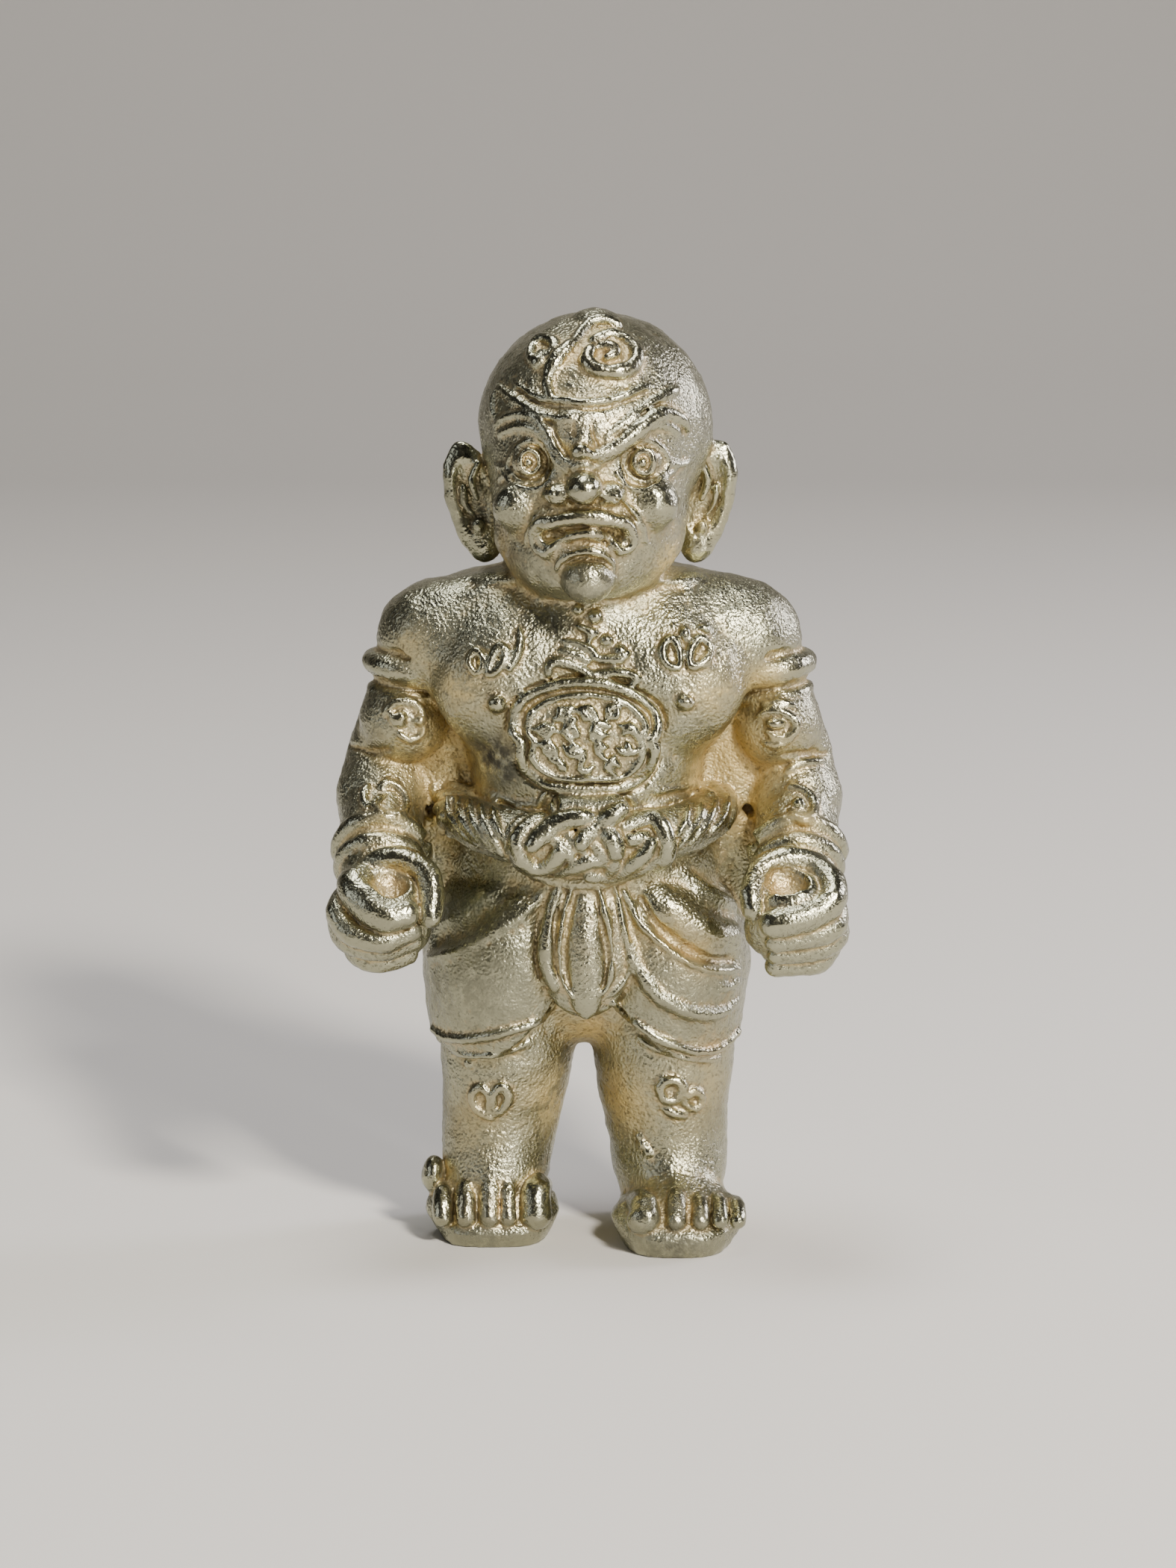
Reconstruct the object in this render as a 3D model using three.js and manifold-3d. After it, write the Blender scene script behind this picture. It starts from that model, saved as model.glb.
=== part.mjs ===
// Standing guardian figure, cast in one solid piece of nickel silver.
// Millimetres, +Z up, the face looks along -Y, both soles rest on z = 0.
import * as THREE from "three";
import { mergeVertices } from "three/addons/utils/BufferGeometryUtils.js";
import Module from "manifold-3d";

const wasm = await Module();
wasm.setup();

// Driving dimensions
const HEIGHT = 40;
const SKULL = { centre: [0.42, 0.6, 35.0], radii: [4.95, 5.2, 4.75] };
const SHOULDER_RADIUS = 2.55;
const UPPER_ARM_RADIUS = 2.0;
const WRIST_RADIUS = 1.75;
const BAND_RADIUS = 0.42;
const ARMLET_REACH = 2.45;
const BRACELET_REACH = 2.1;
const FINGER_RADIUS = 0.56;
const FIST_SQUARENESS = 0.05;
const ROPE_STRANDS = 4;
const ROPE_STRAND_RADIUS = 0.3;
const KNOT_STRAND_RADIUS = 0.36;
const FOLD_RADIUS = 0.28;
const WRINKLE_RADIUS = 0.2;
const BROW_RADIUS = 0.4;
const LIP_RADIUS = 0.32;
const EYES = [[-2.36, 34.0], [2.41, 34.0]];
const CURL_RADIUS = 0.2;
const MEDALLION = { centre: [-0.05, 22.45], half: [2.95, 1.95], rim: 0.25, bulge: 0.5 };
const TOE_RADIUS = 0.5;
const SOLE_THICKNESS = 0.95;
const FOOT_SQUARENESS = 0.6;
const PINHOLE_RADIUS = 0.32;
const CENTRING = [-0.15, 1.02, 0];

// Facets round a mass, round a limb and round a raised cord
const HEAD_SIDES = 14;
const MASS_SIDES = 12;
const LIMB_SIDES = 8;
const BAND_SIDES = 10;
const FEATURE_SIDES = 6;
const DIGIT_SIDES = 5;
const CORD_SIDES = 4;
const CURL_SPANS = 5;
const CORD_STEP = 1.15;
const FOLD_STEP = 1.5;
const FRAME_STEPS = 60;
const BAND_CLEARANCE = 0.99;

const lerp = THREE.MathUtils.lerp;
const vector = (point) => new THREE.Vector3(...point);

// a closed three.js geometry as a solid that can be joined and cut
function solidOf(geometry) {
  geometry.deleteAttribute("normal");
  geometry.deleteAttribute("uv");
  const merged = mergeVertices(geometry, 1e-5);
  const vertProperties = new Float32Array(merged.attributes.position.array);
  const triVerts = new Uint32Array(merged.index.array);
  return new wasm.Manifold(new wasm.Mesh({ numProp: 3, vertProperties, triVerts }));
}

function geometryOf(solid) {
  const mesh = solid.getMesh();
  const geometry = new THREE.BufferGeometry();
  geometry.setAttribute("position", new THREE.BufferAttribute(mesh.vertProperties, 3));
  geometry.setIndex(new THREE.BufferAttribute(mesh.triVerts, 1));
  return geometry;
}

const join = (solids) => solids.reduce((whole, solid) => whole.add(solid));
const cut = (whole, solids) => solids.reduce((left, solid) => left.subtract(solid), whole);

// an ellipsoid, turned by degrees about X, Y and Z
function ball(centre, radii, turn = [0, 0, 0], sides = LIMB_SIDES) {
  const geometry = new THREE.SphereGeometry(1, sides, Math.round(sides * 0.6));
  geometry.rotateX(Math.PI / 2);
  geometry.scale(...radii);
  const angles = turn.map(THREE.MathUtils.degToRad);
  geometry.applyMatrix4(new THREE.Matrix4().makeRotationFromEuler(new THREE.Euler(...angles)));
  geometry.translate(...centre);
  return solidOf(geometry);
}

// a body of revolution about a leaning axis, its profile given as radius, height pairs from
// the bottom up, its round section reshaped by a function of the angle
function turned(centre, profile, axis, sides = BAND_SIDES, shape = () => [1, 1]) {
  const geometry = new THREE.LatheGeometry(profile.map(([x, y]) => new THREE.Vector2(x, y)), sides);
  const place = geometry.attributes.position;
  for (let index = 0; index < place.count; index++) {
    const angle = Math.atan2(place.getZ(index), place.getX(index));
    const [wide, deep] = shape(angle);
    place.setX(index, place.getX(index) * wide);
    place.setZ(index, place.getZ(index) * deep);
  }
  const up = new THREE.Vector3(0, 1, 0);
  geometry.applyQuaternion(new THREE.Quaternion().setFromUnitVectors(up, vector(axis).normalize()));
  geometry.translate(...centre);
  return solidOf(geometry);
}

// a stack of level ellipses, each row z, x, y, half width, half depth; a power under one
// squares their corners
function stack(rows, sides = MASS_SIDES, power = 1) {
  const squared = (value) => Math.sign(value) * Math.abs(value) ** power;
  const geometry = new THREE.SphereGeometry(1, sides, rows.length - 1);
  const place = geometry.attributes.position;
  rows.forEach(([z, x, y, halfWidth, halfDepth], row) => {
    for (let column = 0; column <= sides; column++) {
      const angle = (column / sides) * Math.PI * 2;
      const index = row * (sides + 1) + column;
      const [across, along] = [squared(Math.cos(angle)), squared(Math.sin(angle))];
      place.setXYZ(index, x - halfWidth * across, y - halfDepth * along, z);
    }
  });
  return solidOf(geometry);
}

// a round limb along a smooth path, its ends rounded, its radius changing on the way, with
// plain bands round it where asked, each at a share of the path with its own radius
function limb(points, radii, sides = LIMB_SIDES, stepsPerSpan = 1, bands = []) {
  const curve = new THREE.CatmullRomCurve3(points.map(vector), false, "centripetal");
  const steps = (points.length - 1) * stepsPerSpan;
  const frames = curve.computeFrenetFrames(FRAME_STEPS, false);
  const length = curve.getLength();
  const radiusAt = (share) => {
    const span = Math.min(Math.floor(share * (radii.length - 1)), radii.length - 2);
    return lerp(radii[span], radii[span + 1], share * (radii.length - 1) - span);
  };
  const stations = [];
  for (let step = 0; step <= steps; step++) {
    stations.push({ share: step / steps, radius: radiusAt(step / steps) });
  }
  for (const { share, radius, half } of bands) {
    const foot = half / length;
    stations.push({ share: share - foot, radius: radiusAt(share - foot) });
    stations.push({ share, radius });
    stations.push({ share: share + foot, radius: radiusAt(share + foot) });
  }
  const crowded = ({ share, radius }) => bands.some((band) =>
    radius !== band.radius && Math.abs(share - band.share) < (band.half / length) * BAND_CLEARANCE);
  const kept = stations.filter((station) => !crowded(station));
  kept.sort((one, other) => one.share - other.share);
  const rings = kept.map(({ share, radius }) => ({ share, along: 0, radius }));
  const capRows = sides > CORD_SIDES ? 2 : 1;
  for (let row = capRows - 1; row >= 0; row--) {
    const angle = (row / capRows) * Math.PI / 2;
    const [first, last] = [radii[0], radii[radii.length - 1]];
    rings.unshift({ share: 0, along: -first * Math.cos(angle), radius: first * Math.sin(angle) });
    rings.push({ share: 1, along: last * Math.cos(angle), radius: last * Math.sin(angle) });
  }
  const geometry = new THREE.SphereGeometry(1, sides, rings.length - 1);
  const place = geometry.attributes.position;
  rings.forEach(({ share, along, radius }, row) => {
    const step = Math.round(share * FRAME_STEPS);
    const centre = curve.getPointAt(share).addScaledVector(frames.tangents[step], along);
    for (let column = 0; column <= sides; column++) {
      const angle = (column / sides) * Math.PI * 2;
      const point = centre.clone()
        .addScaledVector(frames.binormals[step], Math.cos(angle) * radius)
        .addScaledVector(frames.normals[step], Math.sin(angle) * radius);
      place.setXYZ(row * (sides + 1) + column, point.x, point.y, point.z);
    }
  });
  return solidOf(geometry);
}

// Everything below that lies on the front of the figure is drawn as x, z pairs
// and laid on the surface that a straight line along +Y meets first.
function frontOf(solid) {
  const target = new THREE.Mesh(geometryOf(solid), new THREE.MeshBasicMaterial({ side: THREE.DoubleSide }));
  const ray = new THREE.Raycaster();
  const start = -30;
  return (x, z, lift = 0) => {
    ray.set(new THREE.Vector3(x, start, z), new THREE.Vector3(0, 1, 0));
    const hit = ray.intersectObject(target)[0];
    return [x, (hit ? hit.point.y : 0) - lift, z];
  };
}

// a raised cord on the front, with a joint about every CORD_STEP along it
function cordOn(front, pairs, radius, lift = 0, cordStep = CORD_STEP) {
  const radii = Array.isArray(radius) ? radius : [radius, radius];
  const drawn = new THREE.SplineCurve(pairs.map(([x, z]) => new THREE.Vector2(x, z)));
  const joints = drawn.getSpacedPoints(Math.max(1, Math.round(drawn.getLength() / cordStep)));
  return limb(joints.map(({ x, y }) => front(x, y, lift)), radii, CORD_SIDES);
}

// a small coiled curl, the generic form of every raised mark on the body
function curl(front, [x, z], size, turns, startAngle) {
  const pairs = [];
  const count = Math.round(turns * CURL_SPANS);
  for (let step = 0; step <= count; step++) {
    const angle = startAngle + (step / CURL_SPANS) * Math.PI * 2;
    const reach = size * lerp(1, 0.25, step / count);
    pairs.push([x + reach * Math.cos(angle), z + reach * Math.sin(angle)]);
  }
  return limb(pairs.map(([x0, z0]) => front(x0, z0)), [CURL_RADIUS, CURL_RADIUS], CORD_SIDES);
}

// Head: the round skull, the narrower face in front of it and the neck
function headMass() {
  const skull = ball(SKULL.centre, SKULL.radii, [0, 0, 0], HEAD_SIDES);
  const face = stack([
    [37.9, 0.3, 0.3, 0, 0], [37.0, 0.3, 0.1, 3.3, 3.8], [35.6, 0.28, -0.3, 4.1, 4.4],
    [34.2, 0.22, -0.6, 4.2, 4.35], [32.8, 0.18, -0.8, 4.15, 4.3], [31.3, 0.12, -1.1, 3.95, 4.1],
    [30.0, 0.06, -1.5, 3.6, 3.6], [29.1, 0, -1.9, 2.9, 3.0], [28.4, 0, -2.2, 1.8, 1.9], [28.1, 0, -2.3, 0, 0],
  ], HEAD_SIDES);
  const neck = limb([[0.1, 0.9, 31.5], [0.05, 0.7, 27.5]], [3.5, 3.7]);
  return [skull, face, neck];
}

function ear(side) {
  const x = (reach) => 0.17 + side * reach;
  const shell = ball([x(4.75), 0.75, 31.8], [1.35, 0.6, 2.3], [0, side * 14, side * -12]);
  const rim = limb(
    [[x(4.5), 0.5, 33.6], [x(5.2), 0.2, 33.95], [x(5.85), 0.2, 33.2], [x(5.7), 0.2, 32.0],
      [x(5.2), 0.1, 30.7], [x(4.5), 0, 29.8]],
    [0.3, 0.36, 0.38, 0.36, 0.4, 0.5], CORD_SIDES);
  return [shell, rim];
}

// Torso from the trapezius down to the hips, the chest and the round belly
function torsoMass() {
  const trunk = stack([
    [29.3, 0.1, 0.6, 0, 0], [29.0, 0.1, 0.5, 3.6, 2.7], [28.4, 0.1, 0.5, 6.0, 3.0],
    [27.6, 0.1, 0.4, 7.1, 3.4], [26.0, 0.1, 0.2, 7.0, 3.8], [24.3, 0.1, 0.1, 6.1, 4.0],
    [23.0, 0.1, 0.1, 5.4, 3.9], [21.5, 0.05, 0.1, 4.9, 3.9], [20.0, 0, 0.2, 4.9, 4.1],
    [18.4, 0, 0.3, 5.3, 4.4], [16.5, 0, 0.4, 5.7, 4.6], [14.5, 0, 0.4, 5.9, 4.6],
    [12.5, 0, 0.3, 5.4, 4.0], [11.8, 0, 0.3, 0, 0],
  ]);
  const breasts = [-1, 1].map((side) =>
    ball([0.15 + side * 2.75, -2.5, 24.5], [2.7, 1.9, 2.1], [0, 0, side * -14]));
  const belly = ball([0, -1.7, 20.6], [4.3, 2.6, 2.9]);
  return [trunk, ...breasts, belly];
}

// One arm: shoulder, upper arm, bent forearm, and the thin web that ties it to the trunk
const ARMS = {
  left: {
    side: -1, ball: [-6.2, 0.2, 25.8], shoulder: [-7.0, 0.2, 26.2], upper: [-7.55, 0.4, 23.4],
    elbow: [-8.6, 0.7, 19.8], wrist: [-8.65, -3.8, 16.3], fist: [-8.35, -5.1, 14.8],
  },
  right: {
    side: 1, ball: [6.5, 0.2, 25.9], shoulder: [7.3, 0.2, 26.1], upper: [8.0, 0.4, 23.3],
    elbow: [8.9, 0.7, 19.6], wrist: [8.95, -3.8, 16.2], fist: [8.6, -5.1, 14.75],
  },
};

function arm({ side, ball: shoulderBall, shoulder, upper, elbow, wrist }) {
  const path = [shoulder, upper, elbow, wrist];
  const radii = [UPPER_ARM_RADIUS, UPPER_ARM_RADIUS, UPPER_ARM_RADIUS + 0.05, WRIST_RADIUS];
  const bands = [
    { share: 0.105, radius: ARMLET_REACH, half: BAND_RADIUS },
    { share: 0.88, radius: BRACELET_REACH, half: BAND_RADIUS },
    { share: 0.96, radius: BRACELET_REACH - 0.1, half: BAND_RADIUS * 0.75 },
  ];
  return [
    ball(shoulderBall, [SHOULDER_RADIUS, SHOULDER_RADIUS, SHOULDER_RADIUS + 0.1], [0, 0, 0], BAND_SIDES),
    limb(path, radii, BAND_SIDES, 1, bands),
    ball([side * 6.4, 0.7, 19.2], [1.9, 1.2, 6.0]),
  ];
}

// The fist is a squared barrel that grips along an axis leaning 40 degrees forward from upright,
// its four fingers ridges round it and its upper end dished. Places are given across, along
// the grip and towards the viewer.
function fist({ side, fist: centre }) {
  const lean = THREE.MathUtils.degToRad(40);
  const grip = new THREE.Vector3(0, -Math.sin(lean), Math.cos(lean));
  const out = new THREE.Vector3(0, -Math.cos(lean), -Math.sin(lean));
  const at = (across, up, forward) => vector(centre)
    .add(new THREE.Vector3(side * across, 0, 0))
    .addScaledVector(grip, up).addScaledVector(out, forward).toArray();
  const profile = [[0, -2.3], [1.15, -2.25]];
  [-1.75, -0.75, 0.25].forEach((up, row) => {
    const reach = 1.75 + row * 0.1;
    profile.push([reach, up], [reach - 0.22, up + FINGER_RADIUS]);
  });
  profile.push([2.0, 1.2], [1.85, 1.85], [1.3, 2.1], [0.8, 1.9], [0.65, 1.35], [0, 1.2]);
  const squared = (angle) => [1, 1].map((reach) => reach + FIST_SQUARENESS * (1 - Math.cos(4 * angle)));
  const barrel = turned(centre, profile, grip.toArray(), BAND_SIDES, squared);
  const heel = ball(at(0.1, -0.2, -1.1), [1.8, 1.5, 1.7], [40, 0, 0]);
  const thumbPath = [
    at(0.9, 1.7, -0.9), at(-0.2, 1.85, -1.35), at(-1.35, 1.8, -0.8), at(-1.75, 1.65, 0.4),
    at(-1.6, 1.3, 1.2),
  ];
  const thumb = limb(thumbPath, [0.5, 0.5, 0.5, 0.48, 0.42], DIGIT_SIDES);
  return join([barrel, heel, thumb]);
}

// Legs, the wrapped cloth round the thighs, and the bare feet on their thick soles
const LEGS = [
  {
    side: -1, hip: [-3.2, 0.3, 14.5], knee: [-3.4, 0.1, 8.8], shin: [-3.65, 0.1, 5.8],
    ankle: [-3.75, 0.5, 3.3], heel: [-3.75, 1.3, 1.7], knees: 2.9, calf: 2.5, slim: 2.1,
    footX: -3.9, bigToe: -2.35, toes: [-3.5, -4.3, -5.1, -5.8], reach: 3.4,
  },
  {
    side: 1, hip: [3.3, 0.3, 14.5], knee: [3.45, 0.1, 8.8], shin: [3.5, 0.1, 5.6],
    ankle: [3.45, 0.5, 3.3], heel: [3.5, 1.3, 1.7], knees: 3.0, calf: 2.65, slim: 2.3,
    footX: 3.95, bigToe: 2.35, toes: [3.8, 4.65, 5.45, 6.15], reach: 4.4,
  },
];

function leg({ side, hip, knee, shin, ankle, heel, knees, calf, slim, footX, bigToe, toes, reach }) {
  const cloth = stack([
    [16.6, side * 2.6, 0.3, 0, 0], [15.8, side * 2.8, 0.3, 2.8, 4.1], [14.0, side * 3.2, 0.2, 3.5, 4.5],
    [12.0, side * 3.5, 0, 3.6, 4.5], [10.2, side * 3.55, 0, 3.4, 4.2], [8.6, side * 3.55, 0, 3.05, 3.8],
    [8.3, side * 3.65, 0, 0, 0],
  ]);
  const shank = limb([hip, knee, shin, ankle, heel], [calf, knees, calf, slim, slim - 0.1]);
  const footMass = stack([
    [3.3, footX, 0.6, 0, 0], [2.9, footX, 0.5, 1.6, 1.8], [2.0, footX, -0.1, 2.1, reach - 0.9],
    [SOLE_THICKNESS, footX, -0.5, 2.3, reach - 0.1], [0, footX - side * 0.1, -0.6, 2.2, reach - 0.1],
    [-SOLE_THICKNESS, footX, -0.5, 0, 0],
  ], BAND_SIDES, FOOT_SQUARENESS);
  const toeTip = 0.2 - reach - 0.6;
  const big = limb([[bigToe, toeTip + 1.6, 1.6], [bigToe, toeTip - 0.1, 1.35]], [0.72, 0.68], DIGIT_SIDES);
  const small = toes.map((x, index) => limb(
    [[x, toeTip + 1.7 + index * 0.1, 1.7], [x + side * 0.1, toeTip + 0.1 + index * 0.22, 1.4]],
    [TOE_RADIUS, TOE_RADIUS * (1 - index * 0.04)], CORD_SIDES));
  return [cloth, shank, footMass, big, ...small];
}

// the cloth's inner edge, filled between the thighs below the hanging tail
const crotch = limb([[-2.2, 0.2, 10.6], [2.2, 0.2, 10.6]], [2.4, 2.4]);
const nub = ball([-6.1, -1.0, 2.7], [0.75, 0.8, 0.75], [0, 0, 0], DIGIT_SIDES + 1);

const masses = join([
  ...headMass(), ...ear(-1), ...ear(1), ...torsoMass(), ...arm(ARMS.left), ...arm(ARMS.right),
  ...LEGS.flatMap(leg), crotch, nub,
]);
const bare = frontOf(masses);

// Face: ringed eyes under knitted brows, a broad nose, full cheeks and a scowling mouth
function faceRelief(front) {
  const mound = ([x, z], radii, lift) => ball(front(x, z, lift), radii, [0, 0, 0], FEATURE_SIDES);
  const eyes = EYES.flatMap(([x, z]) => {
    const [, y] = front(x, z);
    const ring = [[0, -0.4], [0.62, -0.1], [0.52, 0.35], [0.25, 0.1], [0, 0.3]];
    return [mound([x, z], [1.2, 0.5, 0.9], -0.3), turned([x, y - 0.1, z], ring, [0, -1, 0], FEATURE_SIDES)];
  });
  const brows = [
    [[-4.0, 35.1], [-3.2, 35.85], [-2.3, 35.9], [-1.6, 35.5], [-1.2, 34.7], [-0.4, 34.5]],
    [[4.2, 35.1], [3.2, 36.0], [2.3, 35.95], [1.6, 35.5], [1.15, 34.8], [0.4, 34.5]],
  ].map((pairs) => cordOn(front, pairs, [0.3, BROW_RADIUS, BROW_RADIUS], -0.05, FOLD_STEP));
  const nose = [
    mound([0, 33.0], [0.8, 0.8, 0.75], 0.45),
    ...[-0.9, 0.9].map((x) => mound([x, 32.75], [0.55, 0.6, 0.45], 0.1)),
    limb([front(0, 34.8, 0.05), front(0, 33.4, 0.45)], [0.45, 0.6], DIGIT_SIDES),
  ];
  const cheeks = [[-2.8, 32.0], [2.85, 32.15]].map((place) => mound(place, [1.35, 0.8, 1.3], -0.35));
  const muzzle = mound([0, 31.0], [2.3, 0.9, 1.5], -0.45);
  const chin = mound([0, 29.3], [1.2, 0.8, 0.95], -0.2);
  const lips = [
    cordOn(front, [[-1.8, 30.4], [-2.1, 31.2], [-1.2, 31.85], [1.1, 31.85], [1.9, 31.3], [1.65, 30.4]],
      [0.25, LIP_RADIUS, 0.25], 0.3, FOLD_STEP),
    cordOn(front, [[-1.3, 30.4], [0, 30.8], [1.3, 30.4]], LIP_RADIUS, 0.3, FOLD_STEP),
  ];
  const wrinkles = [
    [[-2.9, 37.65], [-1.5, 36.85], [0, 36.6], [1.5, 36.8], [2.8, 37.3]],
    [[-3.5, 37.0], [-1.8, 36.15]], [[3.8, 36.95], [1.9, 36.15]],
  ].map((pairs) => cordOn(front, pairs, WRINKLE_RADIUS, 0.08, FOLD_STEP));
  const scroll = [
    curl(front, [1.0, 38.3], 0.75, 1, Math.PI * 0.75),
    cordOn(front, [[-0.6, 38.8], [-1.2, 37.9], [-1.4, 37.2]], CURL_RADIUS),
    ball(front(-1.8, 38.5), [0.45, 0.4, 0.45], [0, 0, 0], DIGIT_SIDES),
    ball([0.45, -0.2, HEIGHT - 0.5], [0.6, 0.8, 0.5], [0, 0, 0], DIGIT_SIDES + 1),
  ];
  return [...eyes, ...brows, ...nose, ...cheeks, muzzle, chin, ...lips, ...wrinkles, ...scroll];
}

// Chest: the medallion, curls, nipples and the looped cord above the medallion
function chestRelief(front) {
  const [x0, z0] = MEDALLION.centre;
  const [halfWidth, halfHeight] = MEDALLION.half;
  const [, y0] = front(x0, z0 - 1);
  const waisted = (angle) => {
    const notch = 1 - 0.09 * Math.exp(-((Math.sin(angle) - 0.05) ** 2) / 0.03);
    return [halfWidth * notch, halfHeight * notch];
  };
  const { rim, bulge } = MEDALLION;
  const profile = [[0, -1.5], [1, -1.2], [1, rim], [0.93, rim * 1.8], [0.84, rim], [0, bulge]];
  const plate = turned([x0, y0, z0], profile, [0, -1, 0], HEAD_SIDES, waisted);
  const onPlate = frontOf(masses.add(plate));
  const rows = [21.75, 23.1].flatMap((z, row) => [-1.3, 0, 1.3].map((place, column) => {
    const lean = 0.3 * (-1) ** (row + column);
    return cordOn(onPlate, [[x0 + place - lean, z - 0.3], [x0 + place + lean, z + 0.3]], 0.19);
  }));
  const nipples = [[-3.7, 23.9], [4.0, 23.95]].map((place) =>
    ball(front(...place), [0.38, 0.35, 0.38], [0, 0, 0], DIGIT_SIDES));
  const loops = [
    [[-1.6, 25.5], [-0.7, 25.6], [1.2, 24.8], [2.0, 25.2]],
    [[-1.6, 24.8], [-0.5, 24.9], [0.8, 26.0]],
  ].map((pairs) => cordOn(front, pairs, CURL_RADIUS, 0.02));
  return [plate, ...rows, ...nipples, ...loops];
}

// Belt: a rope of slanted strands that sags to an interlaced knot in front
function beltMass() {
  const way = (half) => [
    [0, 4.7, 20.6], [half * 3.9, 3.5, 20.5], [half * 5.5, 0.2, 20.1],
    [half * 4.9, -2.6, 19.2], [half * 3.0, -4.3, 18.2], [0, -4.6, 17.8],
  ];
  const rope = [-1, 1].map((half) => limb(way(half), [0.75, 0.8, 0.85, 0.95, 1.05, 1.1], DIGIT_SIDES));
  const pad = ball([0.1, -4.0, 17.9], [3.5, 1.3, 1.55], [0, 0, 0], 10);
  const wrap = ball([0.25, -3.7, 19.75], [1.75, 1.1, 0.85]);
  return [...rope, pad, wrap];
}

function beltRelief(front) {
  const knot = [
    [[0, 19.35], [-0.9, 19.15], [-1.7, 18.65], [-2.2, 17.9]],
    [[-2.1, 19.0], [-2.9, 18.4], [-2.95, 17.7], [-2.2, 17.05], [-1.3, 17.3]],
    [[-1.0, 18.6], [-0.35, 17.95], [0.3, 17.35], [0.8, 17.1]],
    [[-1.45, 18.1], [-0.9, 17.6], [-0.4, 17.4]],
    [[1.3, 19.5], [0.6, 19.05], [-0.1, 18.5], [-0.3, 18.2]],
    [[0.5, 18.35], [1.0, 18.15], [1.45, 17.6]],
    [[1.7, 18.7], [2.4, 19.1], [3.1, 18.8], [3.5, 18.0], [3.3, 17.3]],
    [[2.6, 18.0], [2.3, 17.4], [1.5, 16.95], [0.6, 16.7]],
    [[-1.3, 16.75], [-0.5, 16.9], [0.2, 17.3]],
  ].map((pairs) => cordOn(front, pairs, [0.85, 1, 0.85].map((taper) => KNOT_STRAND_RADIUS * taper), 0.1));
  const strands = [-1, 1].flatMap((half) => Array.from({ length: ROPE_STRANDS }, (_, index) => {
    const share = index / (ROPE_STRANDS - 1);
    const x = half * lerp(3.6, 5.1, share);
    const z = lerp(17.9, 19.2, share);
    const pairs = [[x + half * 0.1, z + 0.8], [x - half * 0.45, z - 0.6]];
    return cordOn(front, pairs, ROPE_STRAND_RADIUS, 0.02);
  }));
  return [...knot, ...strands];
}

// Cloth: the bud-shaped tail, swags across the thighs and the rolled hems
function clothRelief(front) {
  const tail = [
    limb([[0, -4.3, 16.4], [0, -4.6, 14.5], [0, -4.6, 13.0], [0.05, -4.3, 11.5]], [0.5, 0.85, 0.9, 0.3]),
    ...[-1, 1].map((half) => limb(
      [[half * 0.8, -4.3, 16.4], [half * 1.55, -4.35, 13.6], [half * 0.8, -4.2, 11.6]],
      [0.35, 0.5, 0.3], DIGIT_SIDES)),
  ];
  const swags = [
    [[-2.1, 16.3], [-3.6, 14.9], [-5.2, 13.8], [-6.6, 13.3]],
    [[1.9, 16.2], [3.0, 14.4], [4.5, 13.3], [6.6, 12.9]],
    [[2.1, 14.5], [3.0, 12.6], [4.4, 11.4], [6.6, 11.0]],
    [[3.3, 16.6], [4.8, 14.9], [6.4, 13.9]],
  ].map((pairs) => cordOn(front, pairs, FOLD_RADIUS, 0.05, FOLD_STEP));
  const hems = [
    [[-6.1, 9.5], [-4.9, 9.05], [-3.5, 9.1], [-2.45, 9.7], [-1.4, 10.9]],
    [[6.4, 9.6], [5.1, 9.0], [3.9, 9.1], [2.9, 9.7], [1.4, 10.9]],
  ].map((pairs) => cordOn(front, pairs, FOLD_RADIUS, 0, FOLD_STEP));
  return [...tail, ...swags, ...hems];
}

const belted = join([masses, ...beltMass()]);
const dressed = frontOf(belted);
const relief = [
  ...faceRelief(bare), ...chestRelief(bare), ...beltRelief(dressed), ...clothRelief(bare),
];
const fists = [fist(ARMS.left), fist(ARMS.right)];

// a pinhole left by the casting in each web, and the ground plane that trims the soles flat
const pinholes = [-6.35, 6.6].map((x) =>
  limb([[x, -4, 18.6], [x, 6, 18.6]], [PINHOLE_RADIUS, PINHOLE_RADIUS], DIGIT_SIDES));
const ground = solidOf(new THREE.BoxGeometry(HEIGHT, HEIGHT, HEIGHT).translate(0, 0, -HEIGHT / 2));
const figure = cut(join([belted, ...relief, ...fists]), [...pinholes, ground]);

const nickelSilver = new THREE.MeshStandardMaterial({ color: 0x8f8a74, roughness: 0.38, metalness: 1 });
const guardian = new THREE.Mesh(geometryOf(figure), nickelSilver);
guardian.name = "guardian_figure";
// the outline is centred over the origin
guardian.geometry.translate(...CENTRING);

const part = new THREE.Group();
part.add(guardian);
export default part;
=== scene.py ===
"""Standing guardian amulet, one small solid casting in nickel silver.

The figure is grown as one skin of metal: rounded masses are fused in a grid of distances, raised
bars are laid on it along the line of sight, and the skin is drawn from the grid. Sizes inside the
script are millimetres of a figure 40 mm tall, and MM turns them to the frame's metres.
"""

import math
from typing import NamedTuple

import bpy
import numpy as np
import openvdb
from bpy.props import FloatProperty, FloatVectorProperty, IntProperty, PointerProperty
from bpy.types import Operator, Panel, PropertyGroup
from mathutils import Euler, Matrix, Vector


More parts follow.
